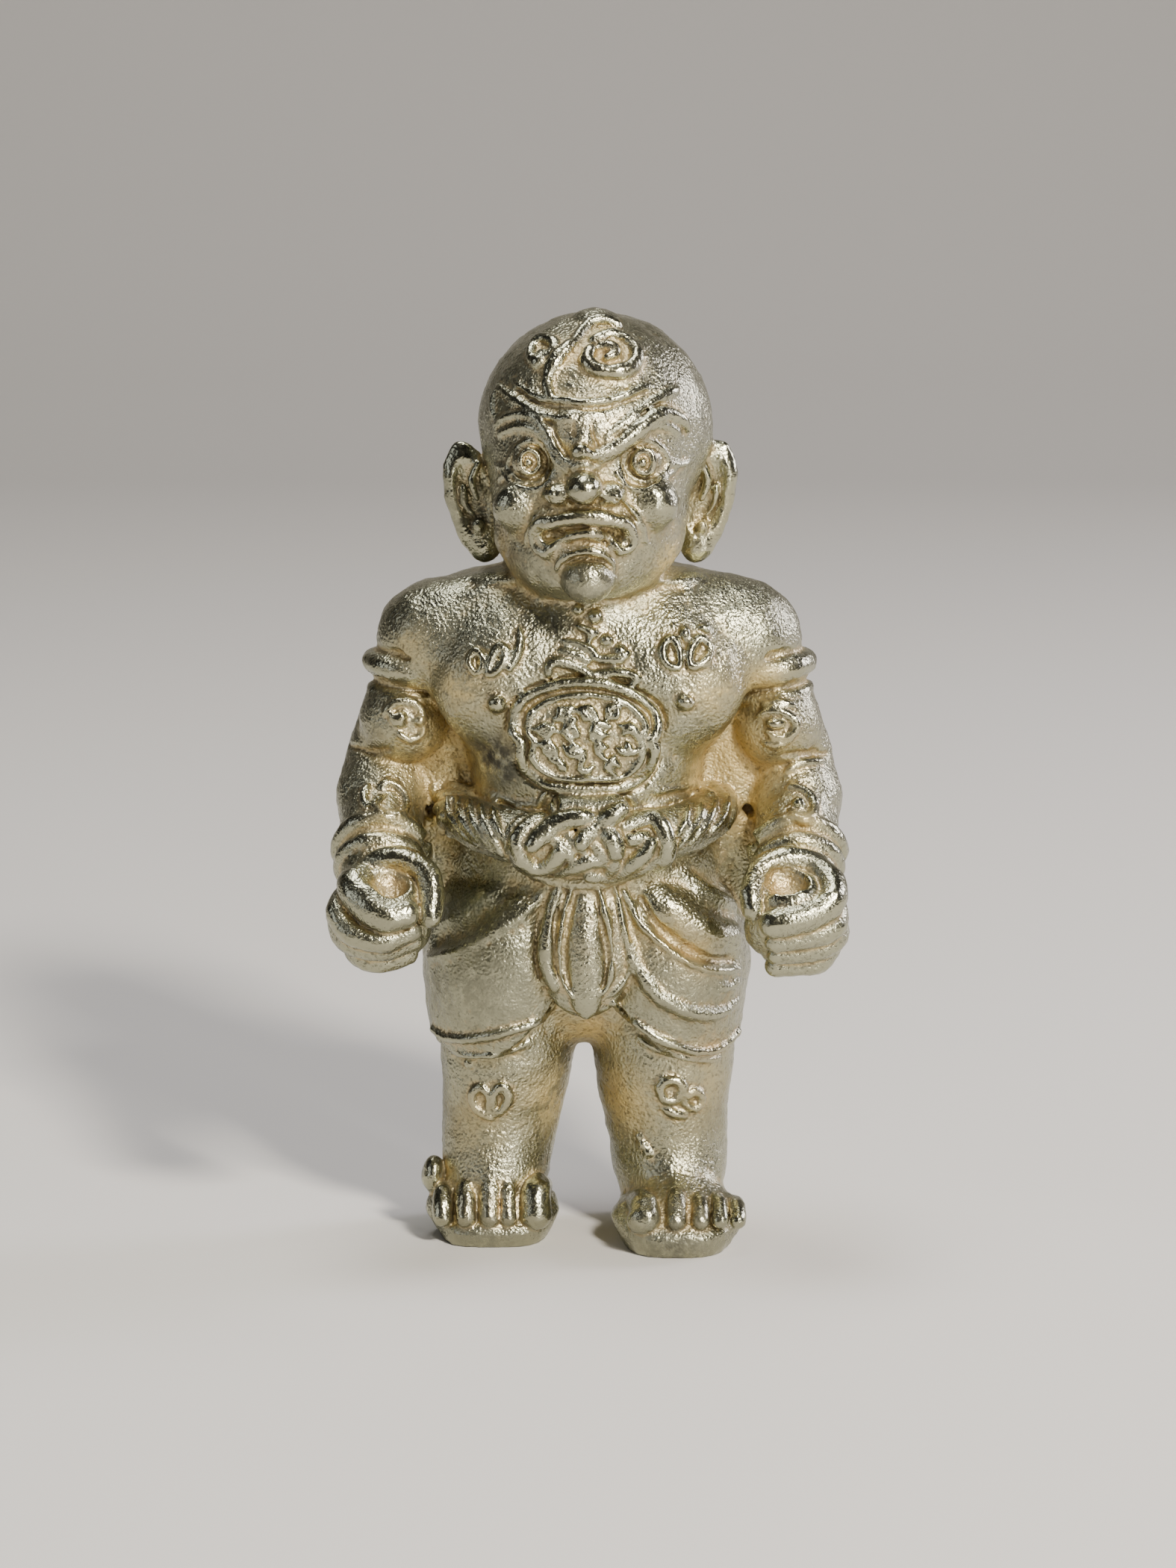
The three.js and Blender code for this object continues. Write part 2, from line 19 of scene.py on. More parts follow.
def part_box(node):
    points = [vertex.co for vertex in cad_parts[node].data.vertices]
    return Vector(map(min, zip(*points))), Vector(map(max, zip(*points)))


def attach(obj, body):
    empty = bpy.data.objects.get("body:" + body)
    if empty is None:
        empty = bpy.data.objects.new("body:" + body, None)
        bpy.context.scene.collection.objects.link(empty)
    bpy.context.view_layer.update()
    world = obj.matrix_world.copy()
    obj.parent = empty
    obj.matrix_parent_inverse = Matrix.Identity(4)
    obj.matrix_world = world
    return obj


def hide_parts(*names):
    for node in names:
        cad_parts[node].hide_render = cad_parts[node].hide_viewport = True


bl_info = {
    "name": "Guardian Amulet",
    "version": (1, 0, 0),
    "blender": (4, 5, 0),
    "location": "View3D > Sidebar > Guardian",
    "description": "Casts a small standing guardian figure in tarnished nickel silver",
    "category": "Add Mesh",
}

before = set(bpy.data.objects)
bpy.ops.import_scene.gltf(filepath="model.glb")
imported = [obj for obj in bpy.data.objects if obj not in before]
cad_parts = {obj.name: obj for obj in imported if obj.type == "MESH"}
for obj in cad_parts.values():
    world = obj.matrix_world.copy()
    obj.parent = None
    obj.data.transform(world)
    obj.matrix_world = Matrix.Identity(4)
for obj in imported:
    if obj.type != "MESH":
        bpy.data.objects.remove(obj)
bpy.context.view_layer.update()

NODE = "guardian_figure"
LOW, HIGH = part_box(NODE)
HEIGHT = 40.0
MM = (HIGH.z - LOW.z) / HEIGHT
# Where the middle of the figure's outline from above lies, measured from the axis it is drawn about.
OUTLINE_CENTRE = (0.15, -1.02)
SHIFT = Vector((
    (LOW.x + HIGH.x) / 2 - OUTLINE_CENTRE[0] * MM,
    (LOW.y + HIGH.y) / 2 - OUTLINE_CENTRE[1] * MM,
    LOW.z))

# The photograph was taken from in front and a little above.
TARGET = (0.1, 0.0, 19.62)
CAMERA_DISTANCE = 210.0
CAMERA_RISE = math.radians(11.0)
VIEW_HEIGHT = 67.1
# The height, as marks are measured in the view, that lies on the target.
TARGET_HEIGHT = 19.26
# Marks are dropped from this far in front of the target, along a line this long.
DROP_START = 14.0
DROP_LENGTH = 22

# The box that the grid of distances fills.
GRID_LOW = (-11.4, -8.2, -0.4)
GRID_HIGH = (11.7, 6.4, 40.6)
# The distance that stands for no metal near.
FAR = 30.0
# How far outside a shape its fillet may reach.
MARGIN = 1.3
# How often the depths along a laid bar are evened out.
SMOOTHING = 4
# The fists' grip leans forward by this many degrees.
GRIP_LEAN = 40
# Lights are set out in true millimetres, which the scene holds as metres.
MILLIMETRE = 0.001


def srgb(colour):
    """Turn an sRGB hex colour into the linear RGBA that shaders take."""
    parts = [int(colour[start:start + 2], 16) / 255 for start in (1, 3, 5)]
    linear = [part / 12.92 if part <= 0.04045 else ((part + 0.055) / 1.055) ** 2.4 for part in parts]
    return (*linear, 1.0)


# Sizes and colours


class GuardianSizes(PropertyGroup):
    """How finely the figure is cast, and how thick its small raised parts are."""

    cell: FloatProperty(
        name="Cell", description="Edge of one cell of the grid that the skin is drawn from",
        default=0.085 * MM, min=0.05 * MM, max=0.5 * MM, unit="LENGTH", precision=6)
    rim_radius: FloatProperty(
        name="Rim radius", description="Radius of the medallion's rim",
        default=0.17 * MM, min=0.05 * MM, unit="LENGTH", precision=6)
    mark_radius: FloatProperty(
        name="Mark radius", description="Radius of the small raised curls",
        default=0.2 * MM, min=0.05 * MM, unit="LENGTH", precision=6)
    hem_radius: FloatProperty(
        name="Hem radius", description="Radius of the cloth's rolled hems",
        default=0.24 * MM, min=0.05 * MM, unit="LENGTH", precision=6)
    grain: FloatProperty(
        name="Grain", description="Size of one pebble of the cast grain",
        default=0.12 * MM, min=0.02 * MM, unit="LENGTH", precision=6)
    faces: IntProperty(
        name="Faces", description="Most triangles that the skin may have",
        default=190000, min=20000, max=199000)


class GuardianColours(PropertyGroup):
    """Colours of the metal, its tarnish, its painted shade and the studio."""

    metal: FloatVectorProperty(
        name="Metal", description="Clean nickel silver", subtype="COLOR", size=4,
        default=srgb("#a4a38a"), min=0, max=1)
    ochre: FloatVectorProperty(
        name="Ochre tarnish", description="Yellow film in sheltered places", subtype="COLOR", size=4,
        default=srgb("#c0a766"), min=0, max=1)
    copper: FloatVectorProperty(
        name="Copper bloom", description="Peach bloom in dimples and grooves", subtype="COLOR", size=4,
        default=srgb("#c0a675"), min=0, max=1)
    # Also the colour of the painted shade laid on spots of the figure that lie in shadow.
    patina_and_shade: FloatVectorProperty(
        name="Dark patina", description="Dark film in deep hollows", subtype="COLOR", size=4,
        default=srgb("#24221b"), min=0, max=1)
    # A green tint with painted shade, laid on the top of the left thigh, which lies in shadow.
    green_tint_and_shade: FloatVectorProperty(
        name="Green patina", description="Green cast on one thigh", subtype="COLOR", size=4,
        default=srgb("#4a5140"), min=0, max=1)
    floor: FloatVectorProperty(
        name="Floor", description="Pale studio floor", subtype="COLOR", size=4,
        default=srgb("#c8c5bf"), min=0, max=1)


# Paths


def smooth_path(points, step=0.2):
    """A smooth curve through the points, as rows of every column they have, about step apart."""
    knots = np.array(points, float)
    if len(knots) == 2:
        knots = np.array([knots[0], knots.mean(0), knots[1]])
    padded = np.vstack([2 * knots[0] - knots[1], knots, 2 * knots[-1] - knots[-2]])
    rows = []
    for before, start, end, after in zip(padded, padded[1:], padded[2:], padded[3:]):
        count = max(1, math.ceil(np.linalg.norm(end[:3] - start[:3]) / step))
        share = np.linspace(0, 1, count, endpoint=False)[:, None]
        rows.append(0.5 * (2 * start + (end - before) * share
                           + (2 * before - 5 * start + 4 * end - after) * share ** 2
                           + (3 * start - before - 3 * end + after) * share ** 3))
    rows.append(knots[-1:])
    return np.vstack(rows)


def loop(centre, reach):
    """Points of an ellipse seen from the front, the last one on the first."""
    angle = np.radians(np.linspace(0.0, 360.0, 25))
    places = [centre[0] + reach[0] * np.cos(angle), centre[1] + reach[1] * np.sin(angle)]
    return np.stack(places, 1).tolist()


# The grid of distances


class Shape(NamedTuple):
    """A mass: the box that holds it, and its distance function of x, y and z."""

    low: np.ndarray
    high: np.ndarray
    distance: object


def soft_min(one, other, blend):
    """The nearer of two distances, rounded where they meet within blend."""
    near = np.maximum(blend - np.abs(one - other), 0) / blend
    return np.minimum(one, other) - near * near * blend / 4


def egg(centre, radii, turn=(0, 0, 0)):
    """An ellipsoid, turned by degrees about X, Y and Z."""
    axes = np.array(Euler([math.radians(angle) for angle in turn]).to_matrix())
    reach = np.abs(axes) @ np.array(radii, float)

    def distance(x, y, z):
        offset = (x - centre[0], y - centre[1], z - centre[2])
        local = [sum(axes[row][axis] * offset[row] for row in range(3)) / radii[axis] for axis in range(3)]
        scaled = np.sqrt(sum(value ** 2 for value in local)) + 1e-6
        slope = np.sqrt(sum((value / radii[axis]) ** 2 for axis, value in enumerate(local))) + 1e-6
        return scaled * (scaled - 1) / slope
    return Shape(np.array(centre) - reach, np.array(centre) + reach, distance)


def column(rows, power=2.0):
    """A stack of level ovals, each row z, x, y, half width, half depth, from the top down.

    A power above 2 makes the ovals squarer.
    """
    table = np.array(rows, float)[::-1]
    heights = table[:, 0]
    slopes = np.gradient(table[:, 1:], heights, axis=0)

    def at(z):
        place = np.clip(z, heights[0], heights[-1])
        index = np.clip(np.searchsorted(heights, place, side="right") - 1, 0, len(heights) - 2)
        span = (heights[index + 1] - heights[index])[..., None]
        share = (place[..., None] - heights[index][..., None]) / span
        start, end = table[index, 1:], table[index + 1, 1:]
        return (start * (1 + 2 * share) * (1 - share) ** 2 + end * share ** 2 * (3 - 2 * share)
                + span * slopes[index] * share * (1 - share) ** 2
                + span * slopes[index + 1] * share ** 2 * (share - 1))

    def distance(x, y, z):
        middle_x, middle_y, wide, deep = np.moveaxis(at(z), -1, 0)
        wide, deep = np.maximum(wide, 0.05), np.maximum(deep, 0.05)
        across, along = np.abs(x - middle_x) / wide, np.abs(y - middle_y) / deep
        reach = (across ** power + along ** power) ** (1 / power) + 1e-6
        slope = np.sqrt((across / wide) ** 2 + (along / deep) ** 2) / np.maximum(reach, 1e-6) + 1e-6
        lean = np.maximum(np.abs(np.gradient(wide, axis=-1)), np.abs(np.gradient(deep, axis=-1)))
        lean = lean / (z[0, 0, 1] - z[0, 0, 0])
        side = (reach - 1) / slope / np.hypot(1, np.minimum(lean, 2))
        beyond = np.maximum(z - heights[-1], heights[0] - z)
        return np.maximum(side, beyond)
    half = table[:, 3:].max(0)
    low = np.array([(table[:, 1] - half[0]).min(), (table[:, 2] - half[1]).min(), heights[0]])
    high = np.array([(table[:, 1] + half[0]).max(), (table[:, 2] + half[1]).max(), heights[-1]])
    return Shape(low, high, distance)


def bar(points, radii, step=0.6):
    """A round bar along a smooth path, its radius given at each point."""
    path = smooth_path(np.column_stack([points, radii]), step)

    def distance(x, y, z):
        nearest = np.float32(FAR)
        for start, end in zip(path, path[1:]):
            way = end[:3] - start[:3]
            along = (x - start[0]) * way[0] + (y - start[1]) * way[1] + (z - start[2]) * way[2]
            share = np.clip(along / (way @ way), 0, 1)
            gap = np.sqrt((x - start[0] - way[0] * share) ** 2 + (y - start[1] - way[1] * share) ** 2
                          + (z - start[2] - way[2] * share) ** 2)
            nearest = np.minimum(nearest, gap - start[3] - (end[3] - start[3]) * share)
        return nearest
    reach = path[:, 3:]
    return Shape((path[:, :3] - reach).min(0), (path[:, :3] + reach).max(0), distance)


def ring(centre, axis, reach, thickness):
    """A round band about an axis."""
    way = np.array(Vector(axis).normalized())
    extent = np.full(3, reach + thickness)

    def distance(x, y, z):
        offset = (x - centre[0], y - centre[1], z - centre[2])
        along = sum(offset[index] * way[index] for index in range(3))
        out = np.sqrt(np.maximum(sum(value ** 2 for value in offset) - along ** 2, 0))
        return np.sqrt((out - reach) ** 2 + along ** 2) - thickness
    return Shape(np.array(centre) - extent, np.array(centre) + extent, distance)


def box_mean(values, half):
    """The mean over a box that reaches half cells each way."""
    for axis in range(3):
        around = [(half + 1, half) if side == axis else (0, 0) for side in range(3)]
        run = np.moveaxis(np.cumsum(np.pad(values, around, mode="edge"), axis=axis), axis, 0)
        values = np.moveaxis((run[2 * half + 1:] - run[:-2 * half - 1]) / (2 * half + 1), 0, axis)
    return values


class Casting:
    """The figure's metal as a grid of distances, negative inside, that shapes are fused into."""

    def __init__(self, step):
        self.step = step
        self.first = np.round(np.array(GRID_LOW) / step).astype(int)
        last = np.round(np.array(GRID_HIGH) / step).astype(int)
        self.axes = [np.arange(start, end, dtype=np.float32) * step for start, end in zip(self.first, last)]
        self.gap = np.full([axis.size for axis in self.axes], FAR, np.float32)
        self.settle()

    def settle(self):
        """Let the marks that follow lie on the metal as it is now."""
        self.ground = self.gap.copy()

    def window(self, low, high):
        """The cells between two corners, and their x, y and z set out to be used together."""
        spans = []
        for axis, start, end in zip(self.axes, low, high):
            spans.append(slice(*np.searchsorted(axis, (start, end))))
        places = np.ix_(*[axis[span] for axis, span in zip(self.axes, spans)])
        return tuple(spans), places

    def fuse(self, shape, blend=0.3):
        """Add a mass, filleted by blend where it meets the metal."""
        spans, places = self.window(shape.low - MARGIN, shape.high + MARGIN)
        self.gap[spans] = soft_min(self.gap[spans], shape.distance(*places), blend)

    def carve(self, shape, blend=0.2, depth=FAR):
        """Take a mass away, its edge rounded by blend, no deeper than depth below the surface."""
        spans, places = self.window(shape.low - MARGIN, shape.high + MARGIN)
        taken = np.maximum(shape.distance(*places), -self.gap[spans] - depth)
        self.gap[spans] = -soft_min(-self.gap[spans], taken, blend)

    def sample(self, points, values):
        """The value of a grid like this one at each point, blended between cells."""
        place = np.asarray(points) / self.step - self.first
        place = np.clip(place, 0, np.array(values.shape) - 1.001)
        cell = place.astype(int)
        share = place - cell
        total = 0
        for corner in np.ndindex(2, 2, 2):
            weight = np.prod(np.where(corner, share, 1 - share), axis=-1)
            index = cell + corner
            total = total + weight * values[index[..., 0], index[..., 1], index[..., 2]]
        return total

    def seen(self, marks, lift=0.0):
        """Drop x, height marks of the view along the line of sight to a lift above the metal."""
        marks = np.asarray(marks, float)
        rise = np.array([0, math.sin(CAMERA_RISE), math.cos(CAMERA_RISE)])
        back = np.array([0, -math.cos(CAMERA_RISE), math.sin(CAMERA_RISE)])
        eye = np.array(TARGET) + back * CAMERA_DISTANCE
        plane = (np.array(TARGET) + (marks[:, :1] - TARGET[0]) * [1, 0, 0]
                 + (marks[:, 1:2] - TARGET_HEIGHT) * rise)
        way = (plane - eye) / np.linalg.norm(plane - eye, axis=1, keepdims=True)
        start = CAMERA_DISTANCE - DROP_START
        steps = np.arange(0, DROP_LENGTH, self.step * 0.5)
        along = eye + way[:, None, :] * (start + steps[None, :, None])
        gaps = self.sample(along, self.ground)
        hit = np.argmax(gaps < 0, axis=1)
        hit = np.where(gaps.min(axis=1) < 0, hit, np.argmin(gaps, axis=1))
        reach = start + steps[hit]
        for _ in range(SMOOTHING if len(reach) > 4 else 0):
            reach[1:-1] = (reach[:-2] + reach[1:-1] * 2 + reach[2:]) / 4
        return eye + way * (reach - lift)[:, None]

    def lay(self, lines, radius, lift=0.0, blend=0.15, taper=0.6, sink=False):
        """Lay round bars on the metal along lines of the photograph's view, or sink them in it."""
        paths = []
        for line in lines:
            flat = smooth_path(line, 0.2)
            share = np.linspace(0, 1, len(flat))
            thick = radius * (taper + (1 - taper) * np.sin(share * math.pi) ** 0.5)
            paths.append(np.column_stack([self.seen(flat, lift), thick]))
        self.fuse_bars(paths, blend, sink)

    def fuse_bars(self, paths, blend, sink=False):
        """Fuse or sink bars made by the bar nodes, each path rows of x, y, z, radius."""
        mesh = bars_mesh([rounded_ends(path) for path in paths])
        points = np.empty(len(mesh.vertices) * 3, np.float32)
        mesh.vertices.foreach_get("co", points)
        points = points.reshape(-1, 3) / MM
        mesh.calc_loop_triangles()
        corners = np.empty(len(mesh.loop_triangles) * 3, np.int32)
        mesh.loop_triangles.foreach_get("vertices", corners)
        bpy.data.meshes.remove(mesh)
        # Cells around the bars in which distances are kept, enough for the fillet.
        band = math.ceil(1.6 * blend / self.step) + 3
        levels = openvdb.FloatGrid.createLevelSetFromPolygons(
            points, triangles=corners.reshape(-1, 3).astype(np.uint32),
            transform=openvdb.createLinearTransform(voxelSize=self.step), halfWidth=float(band))
        margin = band * self.step
        spans, _ = self.window(points.min(0) - margin, points.max(0) + margin)
        window = np.empty(self.gap[spans].shape, np.float32)
        corner = tuple(int(start + span.start) for start, span in zip(self.first, spans))
        levels.copyToArray(window, ijk=corner)
        # The edge of the band says only that the bars are at least that far off.
        window[window > margin * 0.98] = FAR
        if sink:
            self.gap[spans] = -soft_min(-self.gap[spans], window, blend)
        else:
            self.gap[spans] = soft_min(self.gap[spans], window, blend)

    def weather(self, size, depth, seed):
        """Make the surface uneven, with lumps of about size and depth."""
        lumps = np.random.default_rng(seed).standard_normal(self.gap.shape, np.float32)
        half = max(1, round(size / self.step / 2))
        lumps = box_mean(box_mean(lumps, half), half)
        self.gap += lumps * np.float32(depth / lumps.std())

    def skin(self):
        """The surface as points in mm and faces."""
        band = 3 * self.step
        levels = openvdb.FloatGrid(band)
        levels.copyFromArray(np.clip(self.gap, -band, band), ijk=tuple(int(start) for start in self.first))
        levels.transform = openvdb.createLinearTransform(voxelSize=self.step)
        return levels.convertToPolygons(isovalue=0.0, adaptivity=0.0)

    def crowding(self, reach):
        """How much metal lies within reach of each cell: half on a plain, more in a hollow."""
        full = np.clip(0.5 - self.gap / (2 * self.step), 0, 1)
        half = max(1, round(reach / self.step / 2))
        return box_mean(box_mean(full, half), half)


# Geometry nodes


def add_node(tree, kind, inputs=(), **settings):
    """Add a node with settings, its inputs given as values or as the sockets to link from."""
    node = tree.nodes.new(kind)
    for name, value in settings.items():
        setattr(node, name, value)
    for socket, value in dict(inputs).items():
        if isinstance(value, bpy.types.NodeSocket):
            tree.links.new(value, node.inputs[socket])
        else:
            node.inputs[socket].default_value = value
    return node


def bar_nodes():
    """Geometry Nodes: a round bar along every curve, as thick as each point's radius."""
    tree = bpy.data.node_groups.get("raised_bar")
    if tree:
        return tree
    tree = bpy.data.node_groups.new("raised_bar", "GeometryNodeTree")
    tree.interface.new_socket("Geometry", in_out="INPUT", socket_type="NodeSocketGeometry")
    sides = tree.interface.new_socket("Sides", in_out="INPUT", socket_type="NodeSocketInt")
    sides.default_value = 12
    tree.interface.new_socket("Material", in_out="INPUT", socket_type="NodeSocketMaterial")
    tree.interface.new_socket("Geometry", in_out="OUTPUT", socket_type="NodeSocketGeometry")
    given = add_node(tree, "NodeGroupInput")
    outline = add_node(tree, "GeometryNodeCurvePrimitiveCircle",
                       {"Resolution": given.outputs["Sides"], "Radius": 1.0})
    thickness = add_node(tree, "GeometryNodeInputRadius")
    body = add_node(tree, "GeometryNodeCurveToMesh", {
        "Curve": given.outputs["Geometry"], "Profile Curve": outline.outputs["Curve"],
        "Scale": thickness.outputs["Radius"], "Fill Caps": True})
    real = add_node(tree, "GeometryNodeRealizeInstances", {"Geometry": body.outputs["Mesh"]})
    finish = add_node(tree, "GeometryNodeSetMaterial", {
        "Geometry": real.outputs["Geometry"], "Material": given.outputs["Material"]})
    add_node(tree, "NodeGroupOutput", {"Geometry": finish.outputs["Geometry"]})
    return tree


def rounded_ends(path):
    """Close a path of x, y, z, radius with a half round at each end."""
    rows = list(path)
    for first, second, at_start in ((path[0], path[1], True), (path[-1], path[-2], False)):
        out = first[:3] - second[:3]
        out = out / (np.linalg.norm(out) + 1e-9)
        for angle in (25, 50, 75):
            reach = math.radians(angle)
            place = first[:3] + out * first[3] * math.sin(reach)
            row = np.append(place, first[3] * math.cos(reach))
            if at_start:
                rows.insert(0, row)
            else:
                rows.append(row)
    return np.array(rows)


def bars_mesh(paths):
    """Draw round bars with the bar nodes and return them as one plain mesh, in metres."""
    curve = bpy.data.curves.new("bar_paths", "CURVE")
    curve.dimensions = "3D"
    for path in paths:
        spline = curve.splines.new("POLY")
        spline.points.add(len(path) - 1)
        spline.points.foreach_set("co", np.column_stack([path[:, :3] * MM, np.ones(len(path))]).ravel())
        spline.points.foreach_set("radius", path[:, 3] * MM)
    drawn = bpy.data.objects.new("bar_paths", curve)
    bpy.context.scene.collection.objects.link(drawn)
    modifier = drawn.modifiers.new("Bars", "NODES")
    modifier.node_group = bar_nodes()
    bpy.context.view_layer.update()
    evaluated = drawn.evaluated_get(bpy.context.evaluated_depsgraph_get())
    mesh = bpy.data.meshes.new_from_object(evaluated)
    bpy.data.objects.remove(drawn)
    bpy.data.curves.remove(curve)
    return mesh


# The figure


def press(casting, marks, blend=0.3, sink=False):
    """Press mounds on the metal, or dents in it: x and height in the view, half sizes, lift."""
    add = casting.carve if sink else casting.fuse
    for x, height, radii, lift in marks:
        add(egg(casting.seen([[x, height]], lift)[0], radii), blend)


def cast_trunk(casting):
    """Torso from the shoulders to the hips, with breasts and the round belly."""
    casting.fuse(column([
        (29.3, 0.1, 0.6, 0, 0), (29.0, 0.1, 0.5, 3.6, 2.7), (28.4, 0.1, 0.5, 6.0, 3.0),
        (27.6, 0.1, 0.4, 7.1, 3.4), (26.0, 0.1, 0.2, 7.0, 3.8), (24.3, 0.1, 0.1, 6.3, 4.0),
        (23.0, 0.1, 0.1, 5.8, 3.9), (21.5, 0.05, 0.1, 5.2, 3.9), (20.0, 0, 0.2, 5.0, 4.1),
        (18.4, 0, 0.3, 5.3, 4.4), (16.5, 0, 0.4, 5.7, 4.6), (14.5, 0, 0.4, 5.6, 4.5),
        (12.5, 0, 0.3, 4.6, 3.8), (11.0, 0, 0.3, 3.0, 2.8)]))
    for side in (-1, 1):
        casting.fuse(egg((0.15 + side * 3.2, -1.7, 24.3), (3.4, 2.2, 2.9), (0, 0, side * -14)), 1.2)
    casting.fuse(egg((0, -1.7, 20.6), (4.3, 2.6, 2.9)), 0.8)


# Each arm: its shoulder, the middle of its fist, its path, and its muscles as middles and half sizes.
ARMS = (
    {"side": -1, "ball": (-6.2, 0.2, 25.8), "fist": (-8.35, -5.1, 14.8),
     "path": ((-7.0, 0.2, 26.2), (-7.55, 0.4, 23.4), (-8.6, 0.7, 19.8), (-8.65, -3.8, 16.3)),
     "muscles": (((-7.75, -0.1, 22.5), (1.85, 1.85, 1.9)), ((-8.7, 0.1, 19.2), (2.0, 1.9, 1.9)))},
    {"side": 1, "ball": (6.5, 0.2, 25.9), "fist": (8.6, -5.1, 14.75),
     "path": ((7.3, 0.2, 26.1), (8.0, 0.4, 23.3), (8.9, 0.7, 19.6), (8.95, -3.8, 16.2)),
     "muscles": (((8.2, -0.1, 22.3), (1.85, 1.85, 1.9)), ((9.0, 0.1, 19.1), (2.0, 1.9, 1.9)))},
)
# Bands round an arm: height, reach, thickness, and whether they are cut in.
ARMLET = (
    (25.42, 1.98, 0.2, True), (24.72, 1.72, 0.52, False),
    (23.9, 1.8, 0.2, True), (23.62, 1.62, 0.24, False),
)
# Bracelets: share of the arm's path, reach, thickness.
BRACELETS = ((0.86, 1.72, 0.42), (0.94, 1.62, 0.4))


def cast_arms(casting):
    """Arms with their armlets and bracelets, and the webs that tie them to the trunk."""
    for arm in ARMS:
        side = arm["side"]
        casting.fuse(egg(arm["ball"], (2.55, 2.5, 2.6)), 0.8)
        casting.fuse(egg((side * 6.4, 0.7, 19.2), (1.9, 1.2, 6.0)), 0.7)
        casting.fuse(bar(arm["path"], (1.8, 1.75, 1.85, 1.7)), 0.4)
        for centre, radii in arm["muscles"]:
            casting.fuse(egg(centre, radii), 0.25)
        path = smooth_path(arm["path"], 0.1)
        for height, reach, thickness, cut in ARMLET:
            near = path[np.argmin(np.abs(path[:, 2] - height))]
            band = ring((near[0], near[1], height), (side * -0.12, 0, 1), reach, thickness)
            if cut:
                casting.carve(band, 0.14, depth=0.25)
            else:
                casting.fuse(band, 0.14)
        for share, reach, thickness in BRACELETS:
            index = round(share * (len(path) - 1))
            casting.fuse(ring(path[index], path[index + 1] - path[index - 1], reach, thickness), 0.12)


# Fist parts as across, up the grip and forward of the fist's middle, outward being positive across.
# The index finger's radii follow its points.
FISTS = (
    {"thumb": ((0.6, 1.8, -1.5), (-0.35, 2.1, -1.6), (-1.5, 2.0, -1.2), (-1.9, 1.8, -0.3),
               (-1.9, 1.4, 0.9)),
     "index": ((0.8, 1.7, -1.2), (1.25, 1.8, -0.45), (0.95, 1.75, 0.25), (0.05, 1.7, 1.0),
               (-0.85, 1.75, 1.0)),
     "thick": (0.55, 0.74, 0.78, 0.76, 0.62),
     "fingers": (((1.3, 0.75, -1.2), (1.95, 0.8, 0.1), (1.45, 0.7, 1.15), (0.2, 0.65, 1.6),
                  (-1.1, 0.75, 1.2)),
                 ((1.2, -0.15, -1.2), (1.9, -0.1, 0.1), (1.35, -0.1, 1.1), (0.2, -0.1, 1.55),
                  (-1.1, 0.0, 1.15)),
                 ((1.0, -1.1, -1.0), (1.4, -1.1, 0.1), (1.0, -1.05, 1.05), (0.2, -1.0, 1.4),
                  (-0.9, -0.95, 1.05)))},
    {"thumb": ((1.1, 1.9, -1.5), (-0.1, 2.1, -1.65), (-1.2, 2.0, -1.15), (-1.65, 1.9, -0.1),
               (-1.65, 1.7, 0.65)),
     "index": ((1.1, 1.9, -1.3), (1.6, 1.9, -0.6), (1.65, 1.9, 0.35), (0.9, 1.8, 0.95), (-0.1, 1.75, 1.3),
               (-0.8, 1.7, 1.45)),
     "thick": (0.55, 0.62, 0.64, 0.66, 0.66, 0.6),
     "fingers": (((1.4, 0.9, -1.1), (1.85, 0.9, 0.5), (1.3, 0.9, 1.25), (0.2, 0.85, 1.55),
                  (-0.7, 0.8, 1.7)),
                 ((1.4, -0.05, -1.1), (1.85, -0.05, 0.5), (1.3, -0.1, 1.25), (0.2, -0.1, 1.6),
                  (-0.6, -0.1, 1.7)),
                 ((1.2, -1.0, -1.0), (1.6, -1.0, 0.4), (1.2, -1.05, 1.2), (0.2, -1.05, 1.5),
                  (-0.6, -1.05, 1.55)))},
)


def cast_fists(casting):
    """Fists that grip along an axis leaning forward, each dished where a staff would stand."""
    lean = math.radians(GRIP_LEAN)
    grip = np.array([0, -math.sin(lean), math.cos(lean)])
    out = np.array([0, -math.cos(lean), -math.sin(lean)])
    for arm, parts in zip(ARMS, FISTS):
        def at(places, centre=np.array(arm["fist"]), side=arm["side"]):
            rows = np.array(places)
            return centre + rows[:, :1] * [side, 0, 0] + rows[:, 1:2] * grip + rows[:, 2:] * out
        casting.fuse(bar(at([(0, -1.2, 0), (0, 1.2, 0)]), (1.4, 1.5)), 0.5)
        casting.fuse(egg(at([(0.1, -0.2, -1.1)])[0], (1.8, 1.5, 1.7), (GRIP_LEAN, 0, 0)), 0.6)
        casting.fuse(egg(at([(-1.1, -0.3, 0.1)])[0], (0.8, 1.0, 1.3), (GRIP_LEAN, 0, 0)), 0.3)
        for finger in parts["fingers"]:
            casting.fuse(bar(at(finger), (0.5, 0.58, 0.55, 0.5, 0.45), 0.3), 0.12)
        casting.fuse(bar(at(parts["index"]), parts["thick"], 0.3), 0.1)
        casting.fuse(bar(at(parts["thumb"]), (0.5, 0.58, 0.58, 0.56, 0.5), 0.3), 0.1)
        casting.carve(egg(at([(-0.2, 2.35, -0.25)])[0], (0.85, 0.8, 0.7), (GRIP_LEAN, 0, 0)), 0.3)


